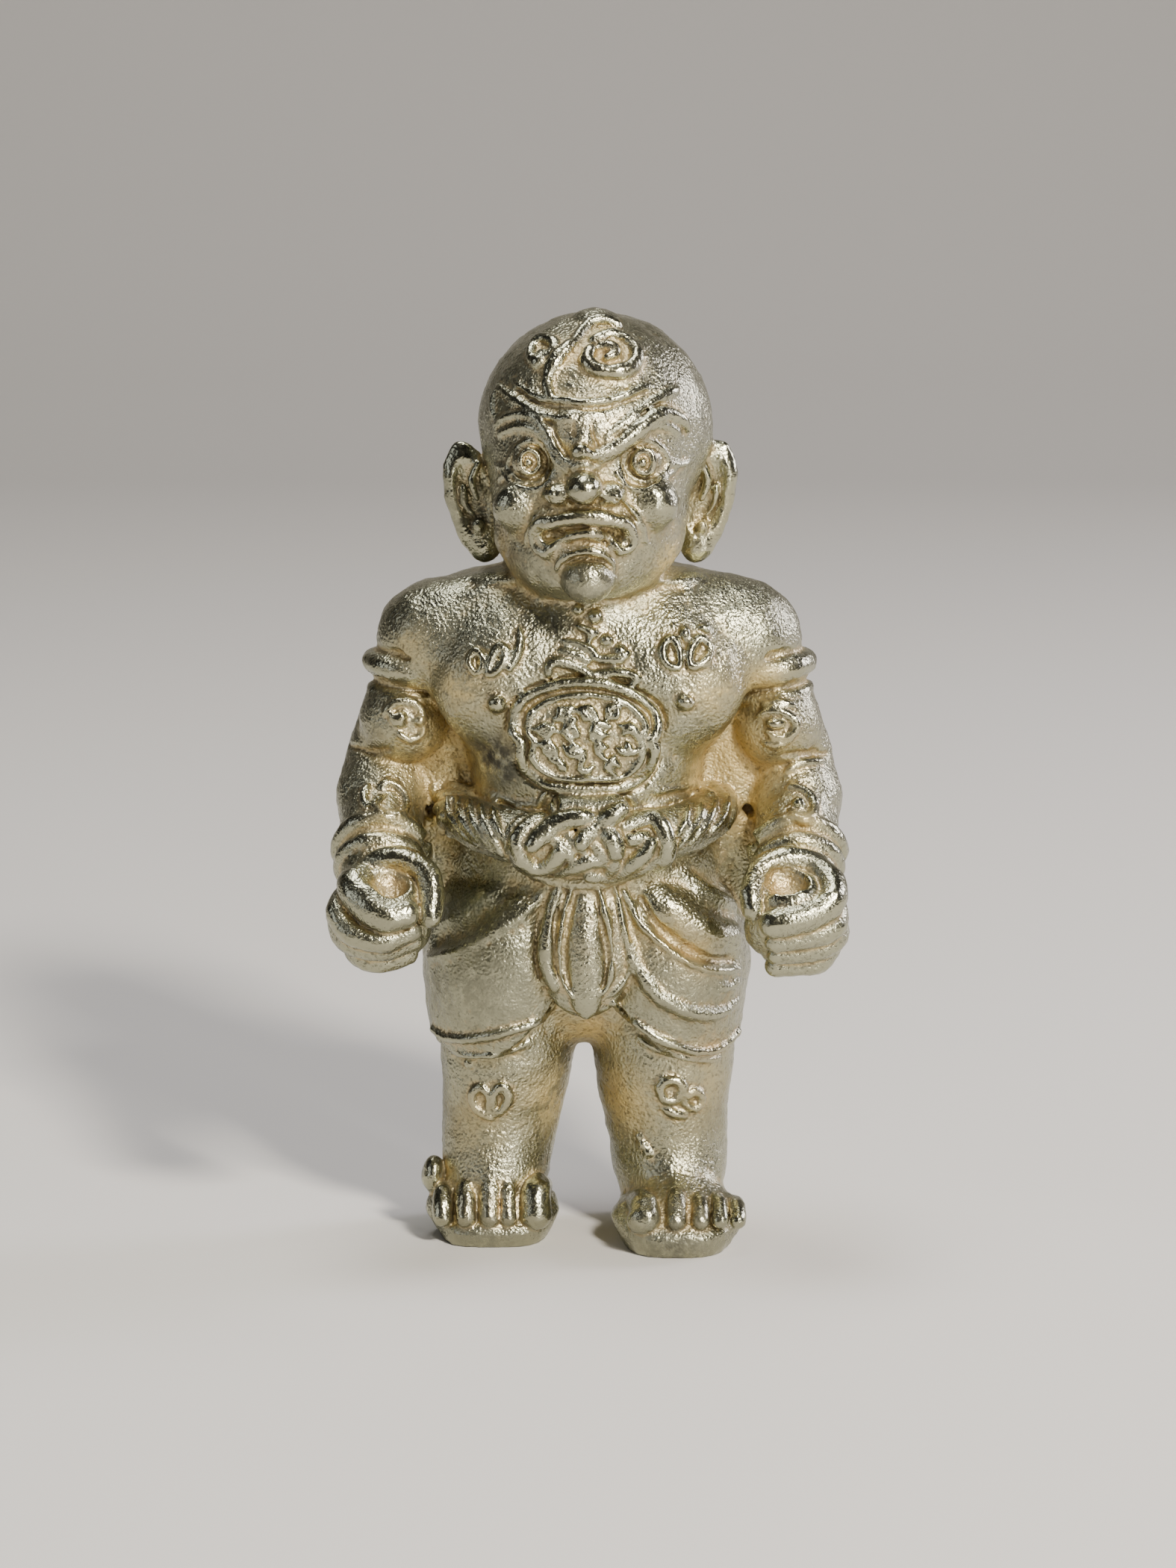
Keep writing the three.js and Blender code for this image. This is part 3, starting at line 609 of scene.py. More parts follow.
# Each leg: the shank's path and radii, the foot's x, the toe tips' y and the sole's top, then the toes
# as x, radius, how far back, height and height of the tip, and the path of the flesh inside the calf.
LEGS = (
    {"side": -1, "shank": ((-3.2, 0.3, 14.5), (-3.4, 0.1, 8.8), (-3.65, 0.1, 5.8), (-3.75, 0.4, 3.3),
                           (-3.75, 1.1, 1.9)),
     "girth": (2.5, 2.85, 2.5, 2.15, 2.0), "foot": -3.95, "tip": -3.6, "sole": 0.8,
     "toes": ((-2.12, 0.66, 0.0, 2.3, 1.35), (-3.32, 0.36, 0.0, 2.6, 1.3), (-4.1, 0.45, 0.0, 2.65, 1.3),
              (-5.15, 0.45, 0.1, 2.35, 1.25), (-6.15, 0.44, 0.35, 2.1, 1.2)),
     "inner": ((-1.95, 0.2, 9.2), (-1.9, 0.2, 7.2), (-2.35, 0.2, 5.2))},
    {"side": 1, "shank": ((3.3, 0.3, 14.5), (3.45, 0.1, 8.8), (3.5, 0.1, 5.6), (3.45, 0.4, 3.3),
                          (3.6, 1.1, 1.9)),
     "girth": (2.65, 2.95, 2.6, 2.3, 2.2), "foot": 3.9, "tip": -5.2, "sole": 1.1,
     "toes": ((2.48, 0.73, 0.0, 2.0, 1.65), (3.87, 0.43, 0.0, 2.3, 1.6), (4.9, 0.37, 0.05, 2.2, 1.6),
              (5.72, 0.35, 0.2, 2.15, 1.6), (6.5, 0.36, 0.5, 1.9, 1.5)),
     "inner": ((1.9, 0.2, 9.2), (1.65, 0.2, 7.0), (2.1, 0.2, 5.0))},
)


def hem_height(x):
    """How high the cloth's lower edge hangs, at a distance across."""
    return 8.3 + 0.21 * (np.abs(x) - 4.9) ** 2


def above_hem(cloth):
    """A mass of cloth without what lies below its hem."""
    def distance(x, y, z):
        return np.maximum(cloth.distance(x, y, z), (hem_height(x) - z) * 0.8)
    return Shape(cloth.low, cloth.high, distance)


def cast_legs(casting):
    """Legs, the cloth wrapped round the thighs, and bare feet on thick soles."""
    casting.fuse(bar([(-2.2, 0.2, 10.6), (2.2, 0.2, 10.6)], (2.3, 2.3)), 0.8)
    for leg in LEGS:
        side, foot, tip = leg["side"], leg["foot"], leg["tip"]
        casting.fuse(bar(leg["shank"], leg["girth"]), 0.5)
        casting.fuse(bar(leg["inner"], (1.4, 1.2, 1.2)), 0.5)
        middle, half, top = (2.5 + tip + 0.15) / 2, (2.35 - tip) / 2, leg["sole"]
        casting.fuse(column([
            (top + 0.5, foot, middle, 2.2, half - 0.7), (top, foot, middle, 2.45, half),
            (0, foot, middle, 2.3, half - 0.1), (-0.95, foot, middle, 2.1, half - 0.3)], power=3.0), 0.25)
        instep = [(foot - side * 0.1, 0.3, 4.2), (foot, -0.8, 2.5), (foot, tip + 2.4, 1.3)]
        casting.fuse(bar(instep, (2.05, 2.0, 1.4)), 1.1)
        casting.fuse(egg((foot + side * 0.15, tip + 2.6, 1.3), (2.85, 1.6, 1.3)), 0.6)
        for x, thick, back, high, low in leg["toes"]:
            toe = [(x - side * 0.1, tip + 2.0 + back * 1.4, high - 0.1), (x, tip + 1.1 + back, high),
                   (x, tip + thick + back, low)]
            casting.fuse(bar(toe, (thick * 0.9, thick * 0.92, thick)), 0.07)
    casting.fuse(egg((-6.6, -1.0, 2.6), (0.5, 0.7, 0.88)), 0.12)
    for leg in LEGS:
        side = leg["side"]
        cloth = column([
            (17.0, side * 2.3, 0.3, 1.4, 2.4), (15.8, side * 2.75, 0.3, 2.7, 4.0),
            (14.0, side * 3.2, 0.2, 3.5, 4.5), (12.0, side * 3.5, 0, 3.55, 4.5),
            (10.2, side * 3.5, 0, 3.35, 4.2), (8.6, side * 3.5, 0, 3.15, 3.75),
            (8.0, side * 3.5, 0, 3.1, 3.6)])
        casting.fuse(above_hem(cloth), 0.2)


def cast_head(casting):
    """Skull, the narrower face in front of it, neck and ears."""
    casting.fuse(bar([(0.1, 0.9, 31.5), (0.05, 0.7, 27.5)], (3.4, 3.6)), 0.8)
    casting.fuse(egg((0.42, 0.6, 35.0), (4.95, 5.2, 4.75)), 0.6)
    casting.fuse(column([
        (37.6, 0.3, 0.1, 2.6, 3.0), (36.8, 0.3, 0.0, 3.5, 4.0), (35.6, 0.28, -0.3, 4.1, 4.4),
        (34.2, 0.22, -0.6, 4.22, 4.4), (32.8, 0.18, -0.8, 4.2, 4.35), (31.3, 0.18, -1.05, 4.1, 4.15),
        (30.0, 0.15, -1.4, 3.85, 3.8), (29.3, 0.1, -1.7, 3.4, 3.4), (28.6, 0.05, -2.0, 2.6, 2.8),
        (28.2, 0, -2.2, 1.9, 2.0)]), 0.4)
    casting.fuse(egg((0.45, -0.2, 39.5), (0.9, 1.0, 0.5)), 0.3)
    for side in (-1, 1):
        def x(reach):
            return 0.17 + side * reach
        lean = (0, side * 14, 0)
        casting.fuse(egg((x(4.95), 0.7, 31.75), (1.15, 0.5, 2.6), lean), 0.25)
        casting.fuse(egg((x(5.2), 0.65, 32.85), (0.88, 0.4, 0.85), lean), 0.3)
        casting.carve(egg((x(5.0), 0.1, 31.95), (0.82, 0.5, 1.85), lean), 0.12)
        casting.fuse(bar([(x(4.7), 0.2, 33.4), (x(5.0), 0.25, 32.7), (x(4.75), 0.2, 31.9)],
                         (0.14, 0.17, 0.14)), 0.12)
        casting.fuse(bar([(x(5.35), 0.35, 32.4), (x(5.3), 0.35, 31.7), (x(4.95), 0.3, 31.2)],
                         (0.12, 0.15, 0.12)), 0.12)
        casting.fuse(egg((x(4.75), 0.3, 30.7), (0.3, 0.25, 0.35)), 0.15)
        casting.fuse(egg((x(4.5), 0.55, 29.8), (0.5, 0.35, 0.6)), 0.4)


def cast_belt(casting):
    """The rope belt that sags to a pad under the knot, fluted at the sides and back."""
    flute_count, flute_radius, flute_seat = 7, 0.27, 0.92
    twist_length, plain_length, step = 7.0, 6.3, 0.25
    half = [(0, 4.6, 19.4), (3.9, 3.5, 19.3), (5.5, 0.2, 18.9), (4.9, -2.5, 18.55), (3.0, -4.0, 18.15),
            (0, -4.4, 17.75)]
    girth = [0.7, 0.75, 0.8, 1.0, 1.15, 1.2]
    way = [(-x, y, z) for x, y, z in half[::-1]] + half[1:]
    girths = girth[::-1] + girth[1:]
    casting.fuse(bar(way, girths), 0.3)
    casting.fuse(egg((0.15, -3.95, 17.95), (3.5, 1.25, 1.5)), 0.25)
    casting.fuse(bar([(-0.9, -4.6, 19.4), (1.15, -4.6, 19.4)], (0.68, 0.68)), 0.12)
    path = smooth_path(np.column_stack([way, girths]), step)
    tangent = np.gradient(path[:, :3], axis=0)
    tangent /= np.linalg.norm(tangent, axis=1, keepdims=True)
    across = np.cross(tangent, [0, 0, 1])
    across /= np.linalg.norm(across, axis=1, keepdims=True)
    rise = np.cross(across, tangent)
    length = np.arange(len(path)) * step
    kept = np.abs(length - length.mean()) < length.mean() - plain_length
    flutes = []
    for index in range(flute_count):
        angle = (length / twist_length + index / flute_count)[:, None] * math.tau
        spot = path[:, :3] + (across * np.cos(angle) + rise * np.sin(angle)) * path[:, 3:] * flute_seat
        flutes.append(np.column_stack([spot, np.full(len(path), flute_radius)])[kept])
    casting.fuse_bars(flutes, 0.1)


def cast_tail(casting):
    """The cloth's bud-shaped end between the thighs."""
    casting.fuse(egg((0, -3.9, 13.2), (2.0, 0.75, 2.9)), 0.3)
    casting.fuse(egg((0, -4.35, 12.6), (0.85, 0.55, 2.3)), 0.1)
    casting.fuse(egg((0.0, -4.2, 11.0), (0.45, 0.4, 0.6)), 0.1)


# Relief on the front, as seen


def mark_face(casting):
    """A scowling guardian's face: ringed eyes, knitted brows, broad nose, creases and chin."""
    press(casting, [
        (-2.9, 31.15, (1.05, 0.95, 1.05), -0.2), (2.85, 31.35, (1.1, 1.0, 1.1), -0.2),
        (0.0, 30.2, (2.2, 0.85, 1.4), -0.42), (-0.1, 34.6, (1.0, 0.5, 1.0), -0.3),
    ], 0.5)
    press(casting, [
        (-2.4, 32.95, (1.15, 0.45, 0.95), 0.1), (2.5, 32.95, (1.15, 0.45, 0.95), 0.1),
    ], 0.3, sink=True)
    press(casting, [(0.1, 28.0, (1.08, 0.95, 1.0), -0.02)], 0.22)
    casting.lay([[(-0.2, 33.9), (-0.15, 33.3), (-0.05, 32.6)]], 0.42, lift=0.02, blend=0.4, taper=0.9)
    press(casting, [(-1.1, 31.66, (0.75, 0.7, 0.48), 0.08), (1.0, 31.66, (0.75, 0.7, 0.48), 0.08)], 0.2)
    press(casting, [(-0.05, 31.92, (0.72, 0.95, 0.7), 0.42)], 0.12)
    casting.settle()
    press(casting, [(-0.2, 33.5, (0.4, 0.4, 0.34), 0.0)], 0.1)
    press(casting, [
        (-1.45, 29.8, (0.62, 0.65, 0.38), 0.1), (1.15, 29.82, (0.62, 0.65, 0.38), 0.1),
    ], 0.12, sink=True)
    casting.lay([
        [(-3.85, 34.6), (-3.3, 35.0), (-2.6, 35.05), (-2.0, 34.77),
         (-1.64, 34.26), (-1.35, 33.76), (-1.0, 33.25), (-0.6, 32.93)],
        [(-3.68, 34.23), (-3.0, 34.55), (-2.3, 34.48), (-1.79, 34.07),
         (-1.5, 33.54), (-1.21, 33.05), (-0.82, 32.75)],
        [(4.0, 34.3), (3.37, 34.62), (2.64, 34.5), (2.09, 34.12),
         (1.59, 33.73), (1.16, 33.35), (0.53, 33.0)],
    ], 0.2, lift=0.03, blend=0.14, taper=0.75)
    casting.lay([
        [(4.38, 34.41), (4.16, 34.8), (3.58, 35.08), (2.93, 34.98), (2.35, 34.54),
         (1.77, 34.03), (1.26, 33.67), (0.68, 33.39), (0.24, 33.3)],
    ], 0.34, lift=0.1, blend=0.14)
    casting.lay([
        [(-3.14, 36.54), (-2.73, 36.2), (-2.18, 35.88), (-1.57, 35.7), (-0.99, 35.7),
         (-0.41, 35.61), (0.32, 35.59), (1.04, 35.69), (1.77, 35.93), (2.71, 36.3)],
        [(-3.71, 36.25), (-3.17, 35.82), (-2.59, 35.43), (-2.01, 35.09), (-1.43, 34.95), (-0.7, 34.9)],
        [(3.92, 36.15), (3.37, 35.89), (2.78, 35.6), (2.28, 35.24),
         (1.77, 34.84), (1.26, 34.45), (0.9, 34.05)],
        [(-3.82, 36.08), (-3.97, 35.5), (-3.9, 34.99)],
    ], 0.19, lift=0.0, blend=0.14)
    casting.lay([
        [(-2.9, 36.15), (-2.2, 35.65), (-1.5, 35.45), (-0.5, 35.35),
         (0.32, 35.33), (1.1, 35.42), (1.9, 35.7), (2.6, 36.05)],
        [(-2.9, 35.35), (-2.2, 34.95), (-1.5, 34.7)],
        [(3.2, 35.55), (2.6, 35.25), (2.1, 34.85), (1.6, 34.4)],
        [(-1.35, 34.35), (-1.05, 33.7), (-0.7, 33.25)], [(0.25, 34.6), (0.3, 34.2), (0.5, 33.75)],
        [(-0.5, 34.7), (-0.5, 34.2)],
    ], 0.08, lift=-0.02, blend=0.14, sink=True)
    casting.lay([
        [(-3.43, 32.78), (-3.17, 33.39), (-2.73, 33.83), (-2.23, 33.93), (-1.75, 33.61), (-1.54, 33.03),
         (-1.69, 32.52), (-2.08, 32.16), (-2.66, 32.19), (-3.1, 32.45), (-3.43, 32.78)],
        [(1.59, 32.96), (1.77, 33.47), (2.13, 33.83), (2.64, 33.95), (3.15, 33.75), (3.44, 33.32),
         (3.54, 32.91), (3.22, 32.45), (2.71, 32.19), (2.13, 32.27), (1.74, 32.56), (1.59, 32.96)],
        [(1.33, 32.56), (1.7, 32.09), (2.28, 31.84), (2.93, 31.98), (3.44, 32.38), (3.87, 32.74)],
        [(-3.58, 32.6), (-3.24, 32.15), (-2.59, 31.88), (-2.01, 31.93), (-1.54, 32.25)],
        [(3.54, 32.91), (4.0, 32.9), (4.4, 33.06)], [(-3.43, 32.78), (-3.85, 32.88)],
        [(-3.31, 32.45), (-3.75, 32.3)], [(-0.53, 32.74), (-0.19, 32.96), (0.17, 32.88), (0.53, 32.74)],
        [(-1.4, 31.58), (-1.79, 31.11), (-2.15, 30.63), (-2.5, 29.98), (-2.6, 29.5)],
        [(1.36, 31.58), (1.8, 31.14), (2.2, 30.63), (2.5, 29.98), (2.55, 29.6)],
        [(-1.4, 31.94), (-1.5, 31.5), (-1.2, 31.25)], [(1.35, 31.98), (1.5, 31.55), (1.25, 31.3)],
    ], 0.12, lift=0.04, blend=0.08, taper=0.8)
    eyes = (-2.4, 2.49)
    for x in eyes:
        press(casting, [(x, 33.06, (0.75, 0.5, 0.75), -0.15)], 0.05)
    casting.settle()
    for x in eyes:
        casting.lay([loop((x, 33.04), (0.42, 0.5))], 0.14, lift=0.1, blend=0.05, taper=1)
        press(casting, [(x - 0.04, 33.02, (0.18, 0.2, 0.2), 0.04)], 0.05)
    casting.lay([
        [(-1.55, 31.45), (-1.95, 31.0), (-2.3, 30.45)], [(1.3, 31.45), (1.75, 31.0), (2.15, 30.5)],
        [(-1.45, 30.2), (-0.7, 30.22), (0, 30.25), (0.7, 30.22), (1.35, 30.15)],
        [(-0.8, 28.75), (0.0, 28.95), (0.85, 28.75)], [(-0.9, 29.4), (0.0, 29.62), (0.9, 29.4)],
    ], 0.13, lift=0.0, blend=0.1, sink=True)
    press(casting, [
        (-0.62, 31.38, (0.22, 0.35, 0.14), 0.15), (0.55, 31.38, (0.22, 0.35, 0.14), 0.15),
    ], 0.06, sink=True)
    casting.lay([
        [(-1.69, 30.3), (-1.21, 30.5), (-0.56, 30.62), (0.03, 30.68),
         (0.68, 30.62), (1.33, 30.49), (1.77, 30.35)],
    ], 0.34, lift=0.16, blend=0.12)
    casting.lay([
        [(-1.21, 30.42), (-1.79, 30.53), (-2.18, 30.24), (-2.3, 29.81), (-2.12, 29.37), (-1.72, 29.08)],
        [(1.33, 30.46), (1.87, 30.3), (2.09, 29.83), (1.94, 29.37), (1.48, 29.17)],
        [(-1.72, 29.11), (-1.4, 29.43), (-0.99, 29.72), (-0.41, 29.91),
         (0.17, 29.98), (0.82, 29.85), (1.22, 29.57), (1.51, 29.2)],
    ], 0.2, lift=0.12, blend=0.1, taper=0.9)
    casting.lay([
        [(-1.25, 28.45), (-1.06, 28.85), (-0.53, 29.11), (0.03, 29.2),
         (0.68, 29.11), (1.11, 28.79), (1.23, 28.45)],
    ], 0.15, lift=0.1, blend=0.08)


def mark_crown(casting):
    """The scroll on the crown."""
    casting.lay([
        [(-0.48, 38.18), (-0.19, 38.62), (0.17, 39.0), (0.75, 39.15), (1.36, 38.9)],
        [(-2.12, 37.17), (-2.33, 37.6), (-2.23, 38.04), (-1.83, 38.33),
         (-1.43, 38.23), (-1.31, 37.88), (-1.6, 37.59), (-1.9, 37.68)],
        [(0.35, 38.25), (0.97, 38.49), (1.62, 38.37), (2.09, 38.0)],
        [(0.9, 37.5), (1.2, 37.62), (1.25, 37.9), (0.95, 38.02), (0.6, 37.95)],
        [(-1.55, 36.9), (-1.65, 36.4), (-1.5, 35.9)],
    ], 0.26, lift=0.1, blend=0.07, taper=0.8)
    casting.lay([
        [(0.22, 37.85), (0.05, 37.45), (0.4, 37.02), (1.11, 36.88),
         (1.85, 37.02), (2.2, 37.47), (2.12, 37.95)],
        [(-1.6, 36.86), (-1.37, 37.24), (-1.05, 37.68), (-0.58, 38.11)],
    ], 0.36, lift=0.14, blend=0.07, taper=0.75)
    press(casting, [(-2.0, 37.35, (0.32, 0.3, 0.3), 0.08)], 0.08)


def strokes(rows, seed):
    """Rows of short bent ticks that aren't letters: first x, last x, height, count and length."""
    dice = np.random.default_rng(seed)
    scatter, shares, bends = 0.07, (1.0, 0.55), (0.3, 0.9)
    lines = []
    for first, last, height, count, length in rows:
        for place in np.linspace(first, last, count):
            middle = np.array([place, height]) + dice.uniform(-scatter, scatter, 2)
            for share in shares:
                angle = dice.uniform(0, math.tau)
                way = np.array([math.cos(angle), math.sin(angle)]) * length * share / 2
                bend = np.array([-way[1], way[0]]) * dice.uniform(*bends)
                lines.append([middle - way, middle + bend, middle + way])
    return lines


def mark_chest(casting, sizes):
    """The medallion with rows of plain strokes, nipples, and curls that spell nothing."""
    rim, mark, middle = sizes.rim_radius / MM, sizes.mark_radius / MM, 21.3
    edge = [
        (-3.1, 21.9), (-2.9, 22.6), (-2.2, 23.15), (-1.2, 23.5), (0.0, 23.6), (1.1, 23.45),
        (2.1, 23.05), (2.85, 22.5), (3.1, 21.9), (3.0, 21.3), (2.8, 21.1), (2.95, 20.7),
        (2.8, 20.1), (2.3, 19.4), (1.5, 19.1), (0.4, 19.05), (-0.7, 19.05), (-1.7, 19.25),
        (-2.5, 19.8), (-2.8, 20.5), (-2.75, 21.0), (-3.1, 21.4), (-3.1, 21.9),
    ]
    inner = [
        (-2.45, 21.8), (-2.3, 22.3), (-1.7, 22.75), (-0.8, 23.0), (0.2, 23.05), (1.2, 22.9),
        (1.9, 22.6), (2.4, 22.1), (2.55, 21.6), (2.35, 21.15), (2.45, 20.7), (2.3, 20.2),
        (1.8, 19.65), (1.2, 19.5), (0.3, 19.45), (-0.6, 19.45), (-1.4, 19.6), (-2.0, 19.95),
        (-2.3, 20.5), (-2.2, 21.05), (-2.45, 21.4), (-2.45, 21.8),
    ]
    between = [((x0 + x1) / 2, (z0 + z1) / 2) for (x0, z0), (x1, z1) in zip(edge, inner)]
    centre = casting.seen([[0.05, middle]], 0.05)[0]
    casting.fuse(egg(centre, (3.15, 0.7, 2.4), (-4, 0, 0)), 0.15)
    casting.settle()
    groove = [(x * 1.08, middle + (z - middle) * 1.09) for x, z in edge]
    casting.lay([groove], 0.12, lift=-0.02, blend=0.08, taper=1, sink=True)
    casting.lay([between], 0.12, lift=0.0, blend=0.1, taper=1, sink=True)
    casting.lay([edge], rim * 1.35, lift=0.08, blend=0.06, taper=1)
    casting.lay([inner], rim * 0.9, lift=0.06, blend=0.06, taper=1)
    casting.lay(strokes([(-0.9, 1.2, 22.3, 3, 0.9), (-1.7, 1.85, 21.5, 4, 1.0), (-1.6, 1.8, 20.7, 4, 0.9),
                         (-1.1, 1.3, 20.05, 3, 0.8)], 11), mark * 0.9, lift=0.12, blend=0.04)
    press(casting, [(-3.8, 22.7, (0.4, 0.42, 0.4), 0.0), (4.25, 22.75, (0.4, 0.42, 0.4), 0.0)], 0.1)
    casting.lay([
        [(-1.6, 23.95), (-1.55, 24.35), (-1.05, 24.5), (-0.35, 24.25), (0.3, 23.95),
         (1.1, 24.05), (1.8, 24.0), (2.2, 23.75), (2.0, 23.5)],
        [(-0.9, 25.35), (-0.4, 25.3), (0.2, 25.0), (0.5, 24.65), (1.0, 24.6), (1.5, 24.6), (1.8, 24.85)],
        [(-1.0, 24.95), (-0.4, 24.8), (0.1, 24.5)], [(-0.35, 26.0), (0.2, 25.75), (0.15, 25.4)],
        [(-4.75, 23.95), (-5.0, 24.5), (-4.7, 25.0), (-4.4, 24.6), (-4.55, 24.0)],
        [(-4.2, 23.9), (-4.05, 24.6), (-3.65, 25.2), (-3.4, 24.8), (-3.75, 24.2), (-4.15, 23.9)],
        [(-2.85, 26.0), (-2.8, 25.4), (-2.95, 24.8), (-3.25, 24.2)],
        [(4.0, 24.2), (3.5, 24.4), (3.3, 25.0), (3.65, 25.5), (4.0, 25.0), (4.05, 24.3)],
        [(4.45, 24.2), (4.5, 25.0), (4.9, 25.5), (5.35, 25.1), (5.1, 24.5), (4.5, 24.2)],
        [(4.2, 25.9), (4.3, 25.5)], [(4.95, 26.0), (5.25, 25.8)],
    ], mark * 1.05, lift=0.12, blend=0.04)
    casting.lay([
        [(-8.6, 22.3), (-8.2, 22.7), (-7.7, 22.8), (-7.25, 22.65), (-6.95, 22.25)],
        [(-8.35, 22.25), (-8.1, 21.95), (-7.8, 21.8)],
        [(-7.95, 21.4), (-7.5, 21.15), (-7.05, 21.35), (-6.95, 21.7)],
        [(7.6, 22.65), (8.3, 22.7), (8.9, 22.65)],
        [(7.35, 22.2), (7.9, 22.4), (8.6, 22.25), (9.0, 21.85), (8.85, 21.4), (8.3, 21.25), (7.75, 21.5)],
        [(7.6, 21.05), (8.2, 20.95), (8.8, 21.2)], [(8.6, 19.8), (9.2, 20.15), (10.1, 20.25)],
    ], mark, lift=0.07, blend=0.06)
    press(casting, [
        (0.3, 25.7, (0.25, 0.2, 0.25), 0.05), (0.9, 25.4, (0.25, 0.2, 0.25), 0.05),
        (1.5, 24.95, (0.22, 0.2, 0.22), 0.05), (0.4, 26.4, (0.3, 0.25, 0.3), 0.05),
        (-0.3, 26.7, (0.22, 0.2, 0.22), 0.05), (0.1, 27.0, (0.2, 0.2, 0.2), 0.05),
        (-7.1, 21.95, (0.22, 0.2, 0.2), 0.08), (-7.9, 22.1, (0.26, 0.2, 0.22), 0.08),
        (8.1, 21.85, (0.42, 0.3, 0.26), 0.02),
    ], 0.08)


def mark_knot(casting):
    """Strands of the knot in front, and the rope's slanted strands on both sides of it."""
    casting.lay([
        [(-5.95, 18.7), (-5.85, 18.0), (-5.3, 17.2), (-4.6, 16.6)],
        [(-5.5, 18.7), (-5.4, 18.0), (-4.9, 17.2), (-4.2, 16.45)],
        [(-5.0, 18.6), (-4.9, 17.9), (-4.5, 17.2), (-3.9, 16.3)],
        [(-4.5, 18.4), (-4.35, 17.7), (-4.0, 17.0), (-3.6, 16.2)],
        [(-4.0, 18.25), (-3.85, 17.6), (-3.55, 16.9)], [(6.1, 18.8), (5.95, 18.0), (5.4, 17.2)],
        [(5.6, 18.7), (5.4, 18.0), (4.9, 17.2), (4.5, 16.7)],
        [(5.0, 18.5), (4.9, 17.9), (4.4, 17.1), (4.0, 16.6)], [(4.4, 18.3), (4.3, 17.7), (3.95, 17.1)],
    ], 0.2, lift=0.1, blend=0.04)
    casting.lay([
        [(-1.25, 19.1), (-1.3, 18.6), (-1.28, 18.1)], [(-2.0, 18.9), (-1.95, 18.4)],
    ], 0.12, blend=0.08, sink=True)
    casting.lay([
        [(1.6, 18.9), (2.0, 18.6), (2.1, 18.3)], [(-1.55, 19.1), (-1.9, 18.6), (-2.0, 18.3)],
        [(2.9, 18.4), (3.8, 18.6), (4.4, 18.8)], [(-5.6, 19.3), (-4.2, 18.9), (-3, 18.45), (-2.1, 18.35)],
        [(-4.6, 18.85), (-3.4, 18.2), (-2.4, 18.0)], [(3.0, 18.9), (4.6, 19.2), (5.6, 19.3)],
        [(-2.2, 18.05), (-3.0, 17.6), (-3.4, 17.0), (-3.35, 16.3)],
    ], 0.14, lift=0.04, blend=0.1)
    casting.lay([
        [(-3.1, 16.8), (-2.85, 15.95), (-2.1, 15.4), (-0.8, 15.1),
         (0.6, 15.1), (1.7, 15.4), (2.75, 15.9), (3.6, 16.5)],
    ], 0.36, lift=-0.04, blend=0.05, taper=0.8)
    casting.lay([
        [(-1.5, 16.95), (-1.1, 16.7), (-0.8, 16.4), (-0.6, 16.05)],
        [(0.75, 15.85), (0.3, 16.0), (-0.2, 15.85), (-0.7, 15.6), (-1.2, 15.4)],
        [(1.3, 16.1), (1.2, 15.7), (0.9, 15.4)], [(-0.95, 17.35), (-0.6, 16.9), (-0.1, 16.4)],
        [(0.2, 16.95), (0.55, 16.5), (0.85, 16.1)], [(1.7, 17.0), (2.1, 16.85), (2.6, 17.1)],
    ], 0.34, lift=0.06, blend=0.04)
    casting.lay([
        [(-1.9, 17.75), (-2.4, 17.5), (-2.85, 17.05), (-2.9, 16.5), (-2.65, 16.0),
         (-2.15, 15.7), (-1.6, 15.75), (-1.25, 16.05), (-1.1, 16.4)],
        [(1.6, 17.4), (2.1, 17.6), (2.7, 17.78), (3.15, 17.6),
         (3.42, 17.1), (3.5, 16.6), (3.4, 16.15), (3.05, 15.8)],
        [(2.75, 16.7), (2.5, 16.3), (2.2, 16.0), (1.85, 15.75), (1.4, 15.45), (0.8, 15.35), (0.2, 15.35)],
    ], 0.42, lift=0.12, blend=0.03, taper=0.8)
    casting.lay([
        [(0.0, 17.85), (-0.5, 17.82), (-1.1, 17.65), (-1.6, 17.3), (-2.0, 17.0), (-2.3, 16.65)],
        [(1.5, 18.15), (0.9, 17.75), (0.4, 17.35), (0, 17.0), (-0.15, 16.75)],
        [(0.75, 17.3), (1.05, 16.95), (1.25, 16.6), (1.3, 16.3)],
    ], 0.46, lift=0.26, blend=0.03, taper=0.8)


